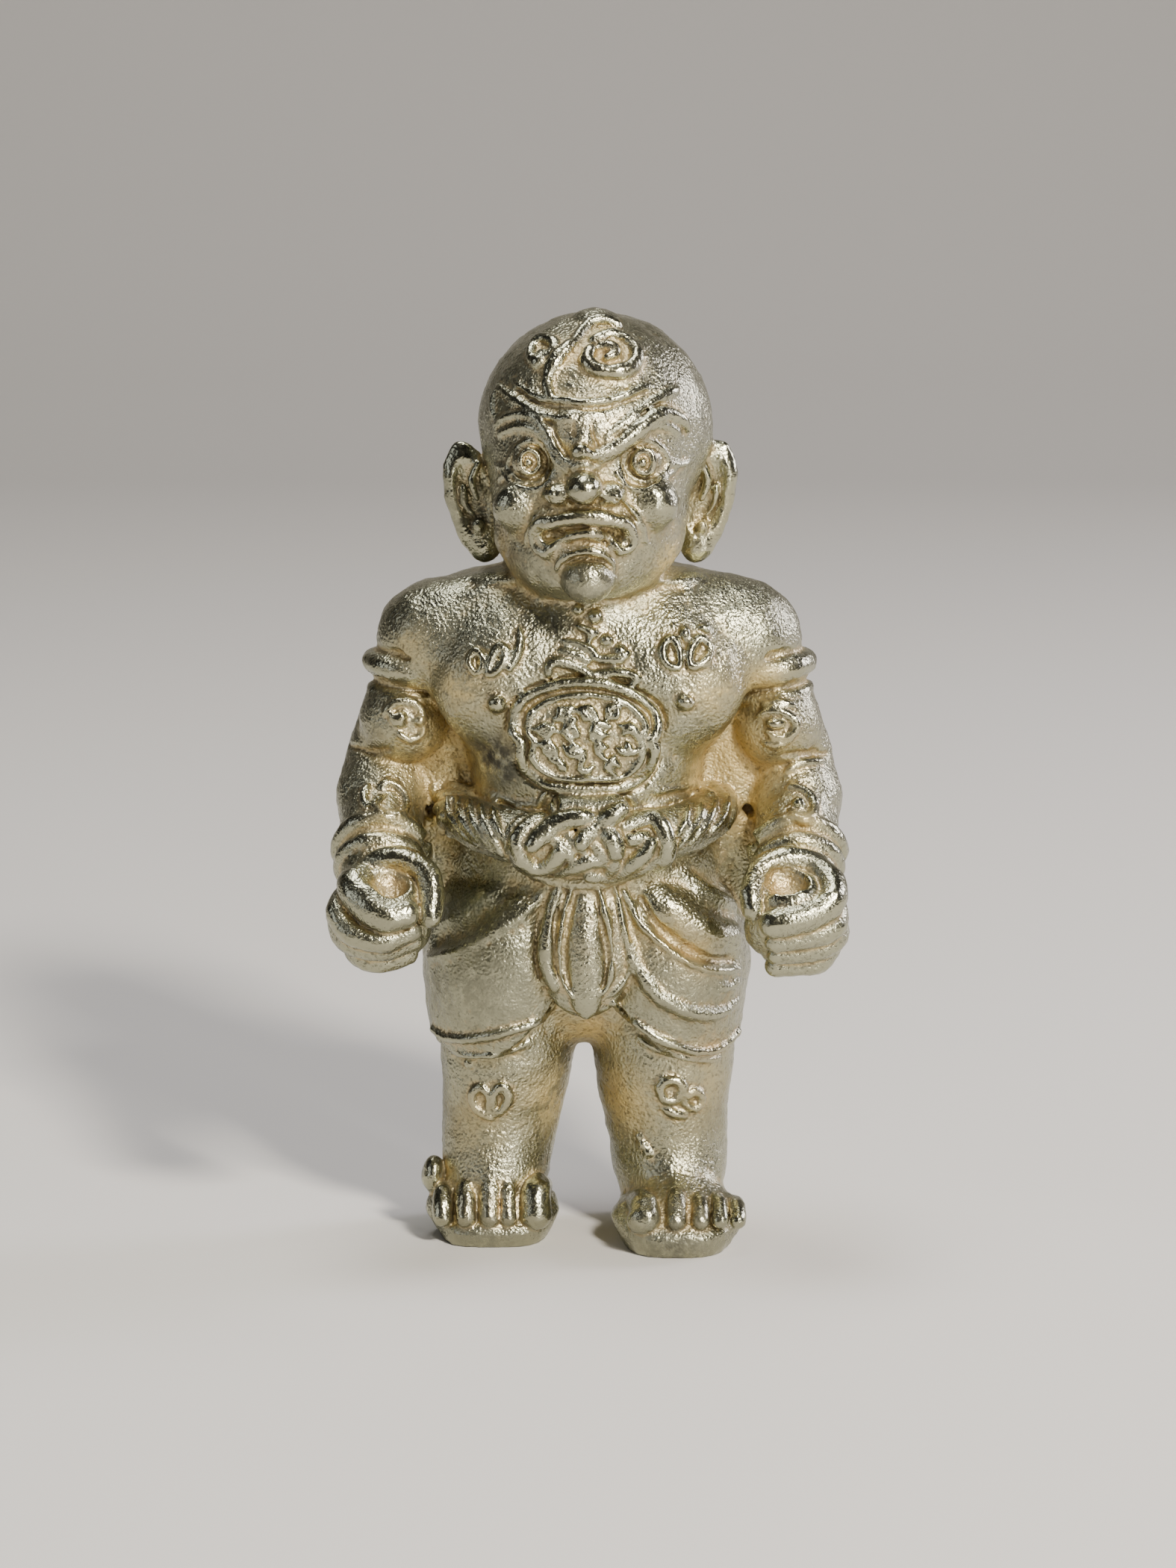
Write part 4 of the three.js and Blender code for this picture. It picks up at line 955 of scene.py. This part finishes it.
def mark_cloth(casting, sizes):
    """Ridges on the tail, swags across the thighs and the rolled hems."""
    hem = sizes.hem_radius / MM
    casting.lay([
        [(-0.55, 14.95), (-0.85, 14.0), (-1.02, 13.0), (-1.08, 12.0),
         (-1.02, 11.2), (-0.85, 10.6), (-0.55, 10.1)],
        [(0.5, 14.9), (0.78, 14.0), (1.0, 13.0), (1.1, 12.2), (1.1, 11.5), (1.0, 10.8), (0.7, 10.3)],
    ], 0.14, lift=0.12, blend=0.05, taper=0.8)
    casting.lay([
        [(-1.1, 14.9), (-1.4, 14.0), (-1.62, 13.0), (-1.68, 12.0), (-1.55, 11.2), (-1.3, 10.5)],
    ], 0.36, lift=0.02, blend=0.1, taper=0.6)
    casting.lay([
        [(1.2, 15.0), (1.4, 14.3), (1.6, 13.2), (1.8, 12.3),
         (1.9, 11.6), (1.82, 11.1), (1.5, 10.6), (1.15, 10.25)],
        [(1.6, 14.75), (2.0, 14.0), (2.2, 13.5)],
    ], 0.15, lift=0.08, blend=0.08)
    casting.lay([
        [(-0.3, 14.8), (-0.65, 13.8), (-0.85, 12.8), (-0.92, 12.0), (-0.88, 11.2), (-0.7, 10.6)],
        [(0.35, 14.8), (0.58, 13.8), (0.78, 12.8), (0.92, 12.0), (0.92, 11.2), (0.75, 10.6)],
        [(-1.25, 14.0), (-1.3, 12.5), (-1.22, 11.2)],
        [(-2.0, 13.6), (-2.15, 12.3), (-2.1, 11.3), (-1.8, 10.5)],
    ], 0.15, lift=0.03, blend=0.05, sink=True)
    casting.lay([
        [(2.6, 14.8), (3.5, 13.95), (4.4, 13.25), (5.4, 12.85), (6.4, 12.75)],
    ], 0.75, lift=-0.42, blend=0.3)
    casting.lay([[(3.9, 15.4), (4.6, 14.9), (5.4, 14.4), (6.2, 14.0)]], 0.5, lift=-0.22, blend=0.3)
    casting.lay([
        [(2.4, 14.3), (3.0, 13.35), (3.6, 12.7), (4.3, 12.2), (5.2, 11.8), (6.3, 11.75)],
    ], 0.24, lift=-0.08, blend=0.25, sink=True)
    casting.lay([
        [(-3.2, 14.9), (-4.0, 14.2), (-4.8, 13.6), (-5.6, 13.0), (-6.4, 12.7)],
    ], 0.5, lift=0.22, blend=0.5, sink=True)
    casting.lay([
        [(1.6, 14.6), (2.0, 13.8), (2.4, 13.2), (2.9, 12.7), (3.4, 12.3),
         (3.9, 11.9), (4.4, 11.6), (5.0, 11.35), (5.7, 11.25), (6.6, 11.35)],
    ], 0.17, lift=0.05, blend=0.12)
    casting.lay([
        [(-1.7, 14.8), (-2.3, 14.1), (-3.0, 13.5), (-4.0, 12.9), (-5.0, 12.3), (-6.0, 11.9), (-6.7, 11.8)],
    ], 0.24, lift=-0.06, blend=0.25)
    casting.lay([
        [(1.95, 12.4), (2.1, 11.6), (2.45, 11.05), (2.75, 10.6), (3.1, 10.2),
         (3.6, 9.88), (4.2, 9.58), (4.9, 9.42), (5.7, 9.5), (6.4, 9.9)],
    ], 0.34, lift=-0.02, blend=0.2)
    casting.lay([[(5.7, 10.5), (6.2, 10.6), (6.6, 10.85)]], 0.15, lift=0.0, blend=0.15)
    casting.lay([
        [(1.2, 9.9), (1.7, 9.4), (2.2, 9.0), (2.8, 8.55), (3.5, 8.2),
         (4.2, 7.95), (4.8, 7.8), (5.5, 7.85), (6.05, 8.15), (6.5, 8.7)],
        [(-1.45, 9.85), (-1.8, 9.35), (-2.3, 8.97), (-3, 8.75),
         (-4, 8.5), (-5, 8.35), (-6, 8.42), (-6.5, 8.8)],
    ], hem * 0.85, lift=0.1, blend=0.08, taper=0.8)
    casting.lay([
        [(2.3, 8.4), (3.0, 7.95), (4.0, 7.6), (5.0, 7.45), (5.8, 7.55)],
        [(-2.4, 8.3), (-3.0, 7.92), (-3.8, 7.68), (-5, 7.62), (-5.8, 7.8)],
    ], hem * 0.65, lift=0.05, blend=0.08)


def mark_limbs(casting, sizes):
    """Curls and specks on forearms and shins, creases at the elbows, and a pinhole in each web."""
    mark = sizes.mark_radius / MM
    casting.lay([
        [(-8.75, 19.15), (-8.45, 19.35), (-8.1, 19.2), (-7.8, 18.95),
         (-7.63, 18.5), (-7.7, 18.1), (-8.0, 17.95)],
        [(-8.7, 18.75), (-9.05, 18.4), (-8.75, 18.0)], [(-9.3, 19.2), (-9.5, 18.8), (-9.4, 18.3)],
        [(8.75, 19.2), (9.2, 19.1), (9.6, 18.8), (9.82, 18.3),
         (9.7, 17.9), (9.3, 17.7), (8.9, 17.9), (8.75, 18.15)],
        [(-4.1, 5.0), (-4.65, 5.3), (-4.85, 5.95), (-4.5, 6.3), (-4.15, 5.9), (-4.15, 5.35)],
        [(-3.95, 5.3), (-3.95, 5.9), (-3.6, 6.35), (-3.3, 5.95), (-3.5, 5.4), (-3.95, 5.1)],
        [(3.9, 5.7), (3.35, 5.75), (3.2, 6.3), (3.7, 6.6), (4.15, 6.3), (3.95, 5.8)],
        [(4.2, 5.75), (4.65, 6.15), (5.0, 5.8), (4.7, 5.35), (4.2, 5.6)],
        [(3.35, 5.35), (3.8, 5.15), (4.3, 5.1)],
    ], mark * 1.1, lift=0.07, blend=0.06)
    press(casting, [
        (9.1, 18.42, (0.27, 0.25, 0.3), 0.05), (-6.5, 19.0, (0.2, 0.2, 0.35), 0.05),
        (-6.7, 18.3, (0.16, 0.16, 0.16), 0.05),
    ], 0.08)
    casting.lay([
        [(-10.1, 20.9), (-9.3, 20.65), (-8.4, 20.7)], [(8.5, 20.5), (9.3, 20.55), (10.3, 20.6)],
    ], 0.15, lift=0.0, blend=0.25, sink=True)
    press(casting, [
        (2.3, 4.2, (0.2, 0.2, 0.2), 0.02), (2.45, 3.85, (0.2, 0.2, 0.2), 0.02),
        (2.7, 3.5, (0.22, 0.2, 0.22), 0.02), (-5.0, 7.3, (0.25, 0.22, 0.25), 0.02),
    ], 0.08)
    for x in (-6.6, 6.95):
        casting.carve(bar([(x, -3, 17.6), (x, 5, 20.4)], (0.26, 0.26)), 0.2)


def cast_figure(sizes):
    """Fuse every mass, lay every relief on it and return the finished grid."""
    casting = Casting(sizes.cell / MM)
    for build in (cast_trunk, cast_arms, cast_legs, cast_head, cast_fists, cast_belt, cast_tail):
        build(casting)
    casting.settle()
    mark_cloth(casting, sizes)
    mark_knot(casting)
    mark_limbs(casting, sizes)
    mark_crown(casting)
    mark_chest(casting, sizes)
    mark_face(casting)
    casting.settle()
    casting.weather(size=0.25, depth=0.012, seed=1)
    casting.weather(size=0.7, depth=0.022, seed=2)
    # The soles are cut level with the floor.
    casting.gap = np.maximum(casting.gap, -casting.axes[2])
    return casting


# The skin, its tints and its painted shade


# Where tarnish, tint and painted shade show, as x and height in the view, reach and strength.
SPOTS_OF_TARNISH_AND_SHADE = {
    "ochre": [
        (-6.6, 20.8, 2.0, 0.9), (-6.7, 18.2, 1.5, 1.0), (6.9, 20.6, 2.1, 1.0), (7.1, 18.0, 1.5, 1.0),
        (-5.4, 23.4, 1.2, 0.7), (5.8, 23.4, 1.2, 0.8), (-7.6, 25.3, 1.0, 0.5), (7.6, 23.6, 1.0, 0.8),
        (-1.4, 5.8, 1.7, 0.8), (1.4, 5.8, 1.7, 0.9), (0.2, 8.8, 1.4, 1.0), (-4.6, 19.4, 1.0, 0.7),
        (4.6, 19.4, 1.2, 0.9), (-3.4, 28.9, 1.2, 0.9), (3.6, 28.9, 1.2, 0.9), (-8.3, 17.6, 1.0, 0.6),
        (9.2, 17.6, 1.0, 0.6), (3.4, 13.0, 1.0, 0.7), (4.8, 12.0, 1.0, 0.7), (5.0, 6.0, 2.0, 0.4),
        (-5.0, 4.6, 1.6, 0.4), (4.4, 31.0, 1.2, 0.5), (-8.1, 14.9, 0.8, 0.5), (8.2, 14.9, 0.9, 0.5),
    ],
    "copper": [
        (-8.1, 14.9, 0.9, 0.9), (8.2, 14.9, 1.0, 0.9), (-0.2, 37.6, 1.2, 0.7), (1.0, 37.7, 1.2, 0.8),
        (-3.7, 1.2, 0.9, 0.8), (-5.3, 1.2, 0.9, 0.8), (4.5, 0.8, 0.9, 0.7), (5.4, 8.0, 0.8, 0.9),
        (4.4, 12.3, 0.9, 0.7), (-2.4, 33.2, 1.0, 0.7), (2.5, 33.2, 1.0, 0.7), (0.0, 34.6, 2.0, 0.5),
        (0.0, 30.0, 2.0, 0.6), (6.9, 20.4, 1.5, 0.6), (7.0, 17.9, 0.9, 0.7), (-6.5, 20.0, 1.2, 0.4),
        (0.3, 9.0, 1.0, 0.5), (0.0, 13.0, 1.8, 0.4),
    ],
    # Painted shade: dark spots where the figure lies in shadow, beside the belly, under the chin and on the
    # soles, and where it mirrors dark surroundings on the cheeks and legs.
    "patina_and_shade": [
        (0.0, 7.4, 1.4, 0.6), (-4.0, 20.5, 1.6, 1.0), (-3.3, 30.3, 0.9, 0.4), (3.3, 30.2, 0.8, 0.35),
        (-1.9, 28.3, 0.9, 0.4), (2.0, 28.5, 0.7, 0.3), (-4.4, 11.0, 2.8, 0.5), (4.4, 10.4, 2.6, 0.35),
        (-1.6, 25.0, 2.2, 0.3), (-3.9, 0.2, 1.4, 0.3), (-3.4, 19.7, 0.9, 0.9), (0.0, 27.0, 1.5, 0.7),
        (-2.9, 28.8, 1.2, 0.6), (3.9, -0.4, 1.8, 0.7), (-5.0, 31.0, 1.0, 0.7), (5.1, 31.0, 0.8, 0.4),
        (-4.2, -0.1, 1.6, 0.5), (-4.4, 16.6, 0.9, 0.4), (-9.0, 21.2, 0.7, 0.4), (-6.3, 10.6, 1.6, 0.5),
        (-5.9, 5.4, 1.3, 0.4), (5.6, 5.0, 1.0, 0.4), (-7.6, 13.0, 1.4, 0.4),
    ],
    # A green tint with painted shade on the top of the left thigh, which lies in shadow.
    "green_tint_and_shade": [
        (-4.9, 14.3, 1.9, 0.8), (-3.4, 13.0, 1.5, 0.4),
    ],
}


def tarnish_and_shade(casting, points, spots):
    """How strongly one list of spots shows at each point, from 0 to 1; the lists hold tarnish, a green tint
    and painted shade.
    """
    total = np.zeros(len(points))
    for x, height, reach, strength in spots:
        centre = casting.seen([[x, height]])[0]
        far = np.linalg.norm(points - centre, axis=1) / reach
        total = np.maximum(total, strength * np.exp(-far ** 2))
    return total


def skin_mesh(casting, sizes):
    """Draw the grid's surface as a mesh with its hollows, tarnish and painted shade as attributes."""
    points, triangles, quads = casting.skin()
    faces = np.vstack([quads[:, [0, 1, 2]], quads[:, [0, 2, 3]], triangles.reshape(-1, 3)])
    # Every face has to look outwards, which a volume above nought shows.
    corners = points[faces]
    volume = np.einsum("ij,ij->i", corners[:, 0], np.cross(corners[:, 1], corners[:, 2])).sum() / 6
    if volume < 0:
        faces = faces[:, ::-1]
    mesh = bpy.data.meshes.new("casting")
    mesh.from_pydata(points * MM, [], faces)
    body = bpy.data.objects.new("casting", mesh)
    bpy.context.scene.collection.objects.link(body)
    thin = body.modifiers.new("Thin", "DECIMATE")
    thin.ratio = min(1.0, sizes.faces / len(faces))
    evaluated = body.evaluated_get(bpy.context.evaluated_depsgraph_get())
    skin = bpy.data.meshes.new_from_object(evaluated)
    bpy.data.objects.remove(body)
    bpy.data.meshes.remove(mesh)
    skin.name = "guardian_skin"
    spots = np.empty(len(skin.vertices) * 3, np.float32)
    skin.vertices.foreach_get("co", spots)
    spots = spots.reshape(-1, 3) / MM
    tints = {"hollow_fine": casting.sample(spots, casting.crowding(0.25)),
             "hollow_broad": casting.sample(spots, casting.crowding(1.0))}
    for name, marks in SPOTS_OF_TARNISH_AND_SHADE.items():
        tints[name] = tarnish_and_shade(casting, spots, marks)
    for name, values in tints.items():
        skin.attributes.new(name, "FLOAT", "POINT").data.foreach_set("value", values.astype(np.float32))
    skin.transform(Matrix.Translation(SHIFT))
    skin.shade_smooth()
    return skin


# Material


def metal_material(sizes, colours):
    """Cast nickel silver: bright where it is rubbed, dull and yellow to black where it is sheltered, and
    darkened with painted shade where the figure lies in shadow.
    """
    material = bpy.data.materials.new("cast_nickel_silver")
    material.use_nodes = True
    tree = material.node_tree
    tree.nodes.clear()

    def attribute(name):
        return add_node(tree, "ShaderNodeAttribute", attribute_name=name).outputs["Fac"]

    def noise(size, detail=3.0, roughness=0.55):
        return add_node(tree, "ShaderNodeTexNoise", {
            "Vector": place, "Scale": 1 / size, "Detail": detail, "Roughness": roughness}).outputs["Fac"]

    def spread(value, low, high, out_low=0.0, out_high=1.0):
        return add_node(tree, "ShaderNodeMapRange", {
            "Value": value, "From Min": low, "From Max": high, "To Min": out_low, "To Max": out_high},
            interpolation_type="SMOOTHSTEP").outputs["Result"]

    def maths(operation, one, other):
        return add_node(tree, "ShaderNodeMath", {0: one, 1: other}, operation=operation).outputs["Value"]

    def tint(share, colour, over):
        return add_node(tree, "ShaderNodeMix", {0: share, 6: over, 7: colour}, data_type="RGBA").outputs[2]

    place = add_node(tree, "ShaderNodeTexCoord").outputs["Object"]
    fine, broad = attribute("hollow_fine"), attribute("hollow_broad")
    cloud, speck = noise(2.4 * MM), noise(0.5 * MM, 5.0, 0.65)
    grit = noise(0.17 * MM, 3.0, 0.58)
    patch = spread(maths("ADD", maths("MULTIPLY", cloud, 0.6), maths("MULTIPLY", speck, 0.4)), 0.38, 0.62)

    # Yellow film lies in the sheltered parts, and none on the rubbed ones.
    sheltered = spread(broad, 0.46, 0.6)
    rubbed = maths("MAXIMUM", spread(fine, 0.48, 0.4), spread(broad, 0.42, 0.33))
    film = maths("MULTIPLY", sheltered, spread(patch, 0.0, 1.0, 0.3, 0.9))
    yellow = maths("MULTIPLY", attribute("ochre"), spread(patch, 0.0, 0.8, 0.4, 1.0))
    peach = maths("MULTIPLY", attribute("copper"), spread(fine, 0.46, 0.56, 0.2, 1.0))
    peach = maths("MAXIMUM", peach, maths("MULTIPLY", spread(fine, 0.515, 0.56), 0.35))
    # Green tint with painted shade on the left thigh's top.
    green = maths("MULTIPLY", attribute("green_tint_and_shade"), spread(speck, 0.35, 0.6, 0.4, 1.0))
    pits = maths("MULTIPLY", spread(grit, 0.49, 0.32), spread(rubbed, 0.0, 1.0, 1.0, 0.3))
    # Deep hollows darken with patina, and the dark spots add painted shade in shadowed places and in dark
    # reflections.
    patina_and_shade = maths("MULTIPLY", attribute("patina_and_shade"), spread(speck, 0.3, 0.6))
    dark = maths("MAXIMUM", maths("MULTIPLY", spread(fine, 0.58, 0.7), 0.6), patina_and_shade)
    dark = maths("MAXIMUM", dark, maths("MULTIPLY", pits, 0.5))

    colour = tint(maths("MULTIPLY", film, 0.3), colours.ochre, colours.metal)
    colour = tint(yellow, colours.ochre, colour)
    colour = tint(peach, colours.copper, colour)
    colour = tint(green, colours.green_tint_and_shade, colour)
    colour = tint(dark, colours.patina_and_shade, colour)

    # Rubbed places are smoothest, and film is satin.
    dull = maths("MAXIMUM", maths("MAXIMUM", film, yellow), maths("MAXIMUM", dark, green))
    roughness = maths("ADD", spread(dull, 0.0, 1.0, 0.27, 0.5), maths("MULTIPLY", rubbed, -0.05))
    cover = maths("MAXIMUM", maths("MAXIMUM", dark, yellow), maths("MULTIPLY", peach, 0.5))
    metallic = spread(cover, 0.0, 1.0, 1.0, 0.35)

    # The mould left a fine pebble in the metal, fainter where it is rubbed.
    pebble = add_node(tree, "ShaderNodeTexVoronoi", {
        "Vector": place, "Scale": 1 / sizes.grain}, feature="SMOOTH_F1")
    relief = maths("ADD", pebble.outputs["Distance"], maths("MULTIPLY", grit, 1.2))
    worn = maths("MULTIPLY", spread(rubbed, 0.0, 1.0, 0.8, 0.4), spread(cloud, 0.35, 0.65, 0.7, 1.0))
    normal = add_node(tree, "ShaderNodeBump", {"Strength": worn, "Distance": 0.06 * MM, "Height": relief})

    surface = add_node(tree, "ShaderNodeBsdfPrincipled", {
        "Base Color": colour, "Roughness": roughness, "Metallic": metallic,
        "Normal": normal.outputs["Normal"]})
    add_node(tree, "ShaderNodeOutputMaterial", {"Surface": surface.outputs["BSDF"]})
    return material


def floor_material(colours):
    """Plain matt paper."""
    material = bpy.data.materials.new("matt_paper")
    material.use_nodes = True
    shader = material.node_tree.nodes["Principled BSDF"]
    shader.inputs["Base Color"].default_value = colours.floor
    shader.inputs["Roughness"].default_value = 0.9
    return material


# Soft boxes: name, place and size in mm, power in watts, colour.
LIGHTS = (
    ("key", (130, -220, 210), (45, 45), 1.8, "#fff8ee"),
    ("strip", (140, -240, 40), (22, 150), 0.32, "#fffaf0"),
    ("fill", (-260, -120, 110), (120, 150), 0.1, "#eef2ff"),
    ("rim", (230, 90, 110), (60, 120), 0.5, "#f4efff"),
    ("top", (-30, 30, 300), (120, 120), 0.6, "#ffffff"),
)
# The grey all round the studio, and its strength.
STUDIO_GREY = "#8d8b88"
STUDIO_STRENGTH = 0.05


# Operators


class GUARDIAN_OT_cast_figure(Operator):
    """Cast the guardian figure in one piece"""

    bl_idname = "guardian.cast_figure"
    bl_label = "Cast Figure"
    bl_options = {"REGISTER", "UNDO"}

    def execute(self, context):
        sizes, colours = context.scene.guardian_sizes, context.scene.guardian_colours
        skin = skin_mesh(cast_figure(sizes), sizes)
        if not skin.vertices:
            raise RuntimeError("the casting has no surface")
        skin.materials.append(metal_material(sizes, colours))
        figure = bpy.data.objects.new("guardian_casting", skin)
        context.scene.collection.objects.link(figure)
        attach(figure, "root")
        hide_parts(NODE)
        return {"FINISHED"}


class GUARDIAN_OT_set_stage(Operator):
    """Set the floor, the soft lights and the camera"""

    bl_idname = "guardian.set_stage"
    bl_label = "Set Stage"
    bl_options = {"REGISTER", "UNDO"}

    def execute(self, context):
        scene = context.scene
        floor = self.floor(scene.guardian_colours)
        scene.collection.objects.link(floor)
        for name, spot, size, power, colour in LIGHTS:
            self.soft_light(scene, name, spot, size, power, colour)
        world = bpy.data.worlds.new("studio")
        world.use_nodes = True
        backdrop = world.node_tree.nodes["Background"]
        backdrop.inputs["Color"].default_value = srgb(STUDIO_GREY)
        backdrop.inputs["Strength"].default_value = STUDIO_STRENGTH
        scene.world = world
        scene.camera = self.camera(scene)
        return {"FINISHED"}

    def floor(self, colours):
        """A strip of floor that curves up far behind the figure."""
        front, bend, radius, top, half_width = -0.6, 0.25, 0.15, 0.7, 0.9
        rows = [(front, 0.0), (bend, 0.0)]
        for turn in np.radians([15, 30, 45, 60, 75, 90]):
            rows.append((bend + radius * math.sin(turn), radius - radius * math.cos(turn)))
        rows.append((bend + radius, top))
        points = [(x, y, z) for y, z in rows for x in (-half_width, half_width)]
        faces = [(row, row + 1, row + 3, row + 2) for row in range(0, len(points) - 2, 2)]
        mesh = bpy.data.meshes.new("paper_sweep")
        mesh.from_pydata(points, [], faces)
        mesh.shade_smooth()
        mesh.materials.append(floor_material(colours))
        return bpy.data.objects.new("paper_sweep", mesh)

    def soft_light(self, scene, name, spot, size, power, colour):
        """A soft box aimed at the figure's middle, its place, width and height in mm."""
        light = bpy.data.lights.new(name, "AREA")
        light.shape = "RECTANGLE"
        light.size, light.size_y = size[0] * MILLIMETRE, size[1] * MILLIMETRE
        light.energy = power
        light.color = srgb(colour)[:3]
        box = bpy.data.objects.new(name, light)
        box.location = Vector(spot) * MILLIMETRE
        aim = Vector((0, 0, HEIGHT / 2 * MILLIMETRE)) - box.location
        box.rotation_euler = aim.to_track_quat("-Z", "Y").to_euler()
        scene.collection.objects.link(box)

    def camera(self, scene):
        """The photograph's camera: in front, a little above, level across."""
        lens = bpy.data.cameras.new("front")
        lens.sensor_fit = "VERTICAL"
        lens.lens = lens.sensor_height * CAMERA_DISTANCE / VIEW_HEIGHT
        lens.clip_start, lens.clip_end = 0.01, 10.0
        eye = bpy.data.objects.new("front", lens)
        back = Vector((0, -math.cos(CAMERA_RISE), math.sin(CAMERA_RISE)))
        eye.location = SHIFT + (Vector(TARGET) + back * CAMERA_DISTANCE) * MM
        eye.rotation_euler = (math.pi / 2 - CAMERA_RISE, 0, 0)
        scene.collection.objects.link(eye)
        return eye


class GUARDIAN_PT_panel(Panel):
    """Sidebar panel with the figure's sizes, colours and steps."""

    bl_idname = "GUARDIAN_PT_panel"
    bl_label = "Guardian Amulet"
    bl_space_type = "VIEW_3D"
    bl_region_type = "UI"
    bl_category = "Guardian"

    def draw(self, context):
        for group in (context.scene.guardian_sizes, context.scene.guardian_colours):
            settings = self.layout.column(align=True)
            for name in group.__annotations__:
                settings.prop(group, name)
        for step in STEPS:
            self.layout.operator(step.bl_idname)


STEPS = (GUARDIAN_OT_cast_figure, GUARDIAN_OT_set_stage)
CLASSES = (GuardianSizes, GuardianColours, *STEPS, GUARDIAN_PT_panel)


def register():
    """Add the classes and the scene's settings."""
    for kind in CLASSES:
        bpy.utils.register_class(kind)
    bpy.types.Scene.guardian_sizes = PointerProperty(type=GuardianSizes)
    bpy.types.Scene.guardian_colours = PointerProperty(type=GuardianColours)


def unregister():
    """Take them away again."""
    del bpy.types.Scene.guardian_colours
    del bpy.types.Scene.guardian_sizes
    for kind in reversed(CLASSES):
        bpy.utils.unregister_class(kind)


def main():
    """Build the figure and its stage."""
    register()
    bpy.ops.guardian.cast_figure()
    bpy.ops.guardian.set_stage()


if __name__ == "__main__":
    main()
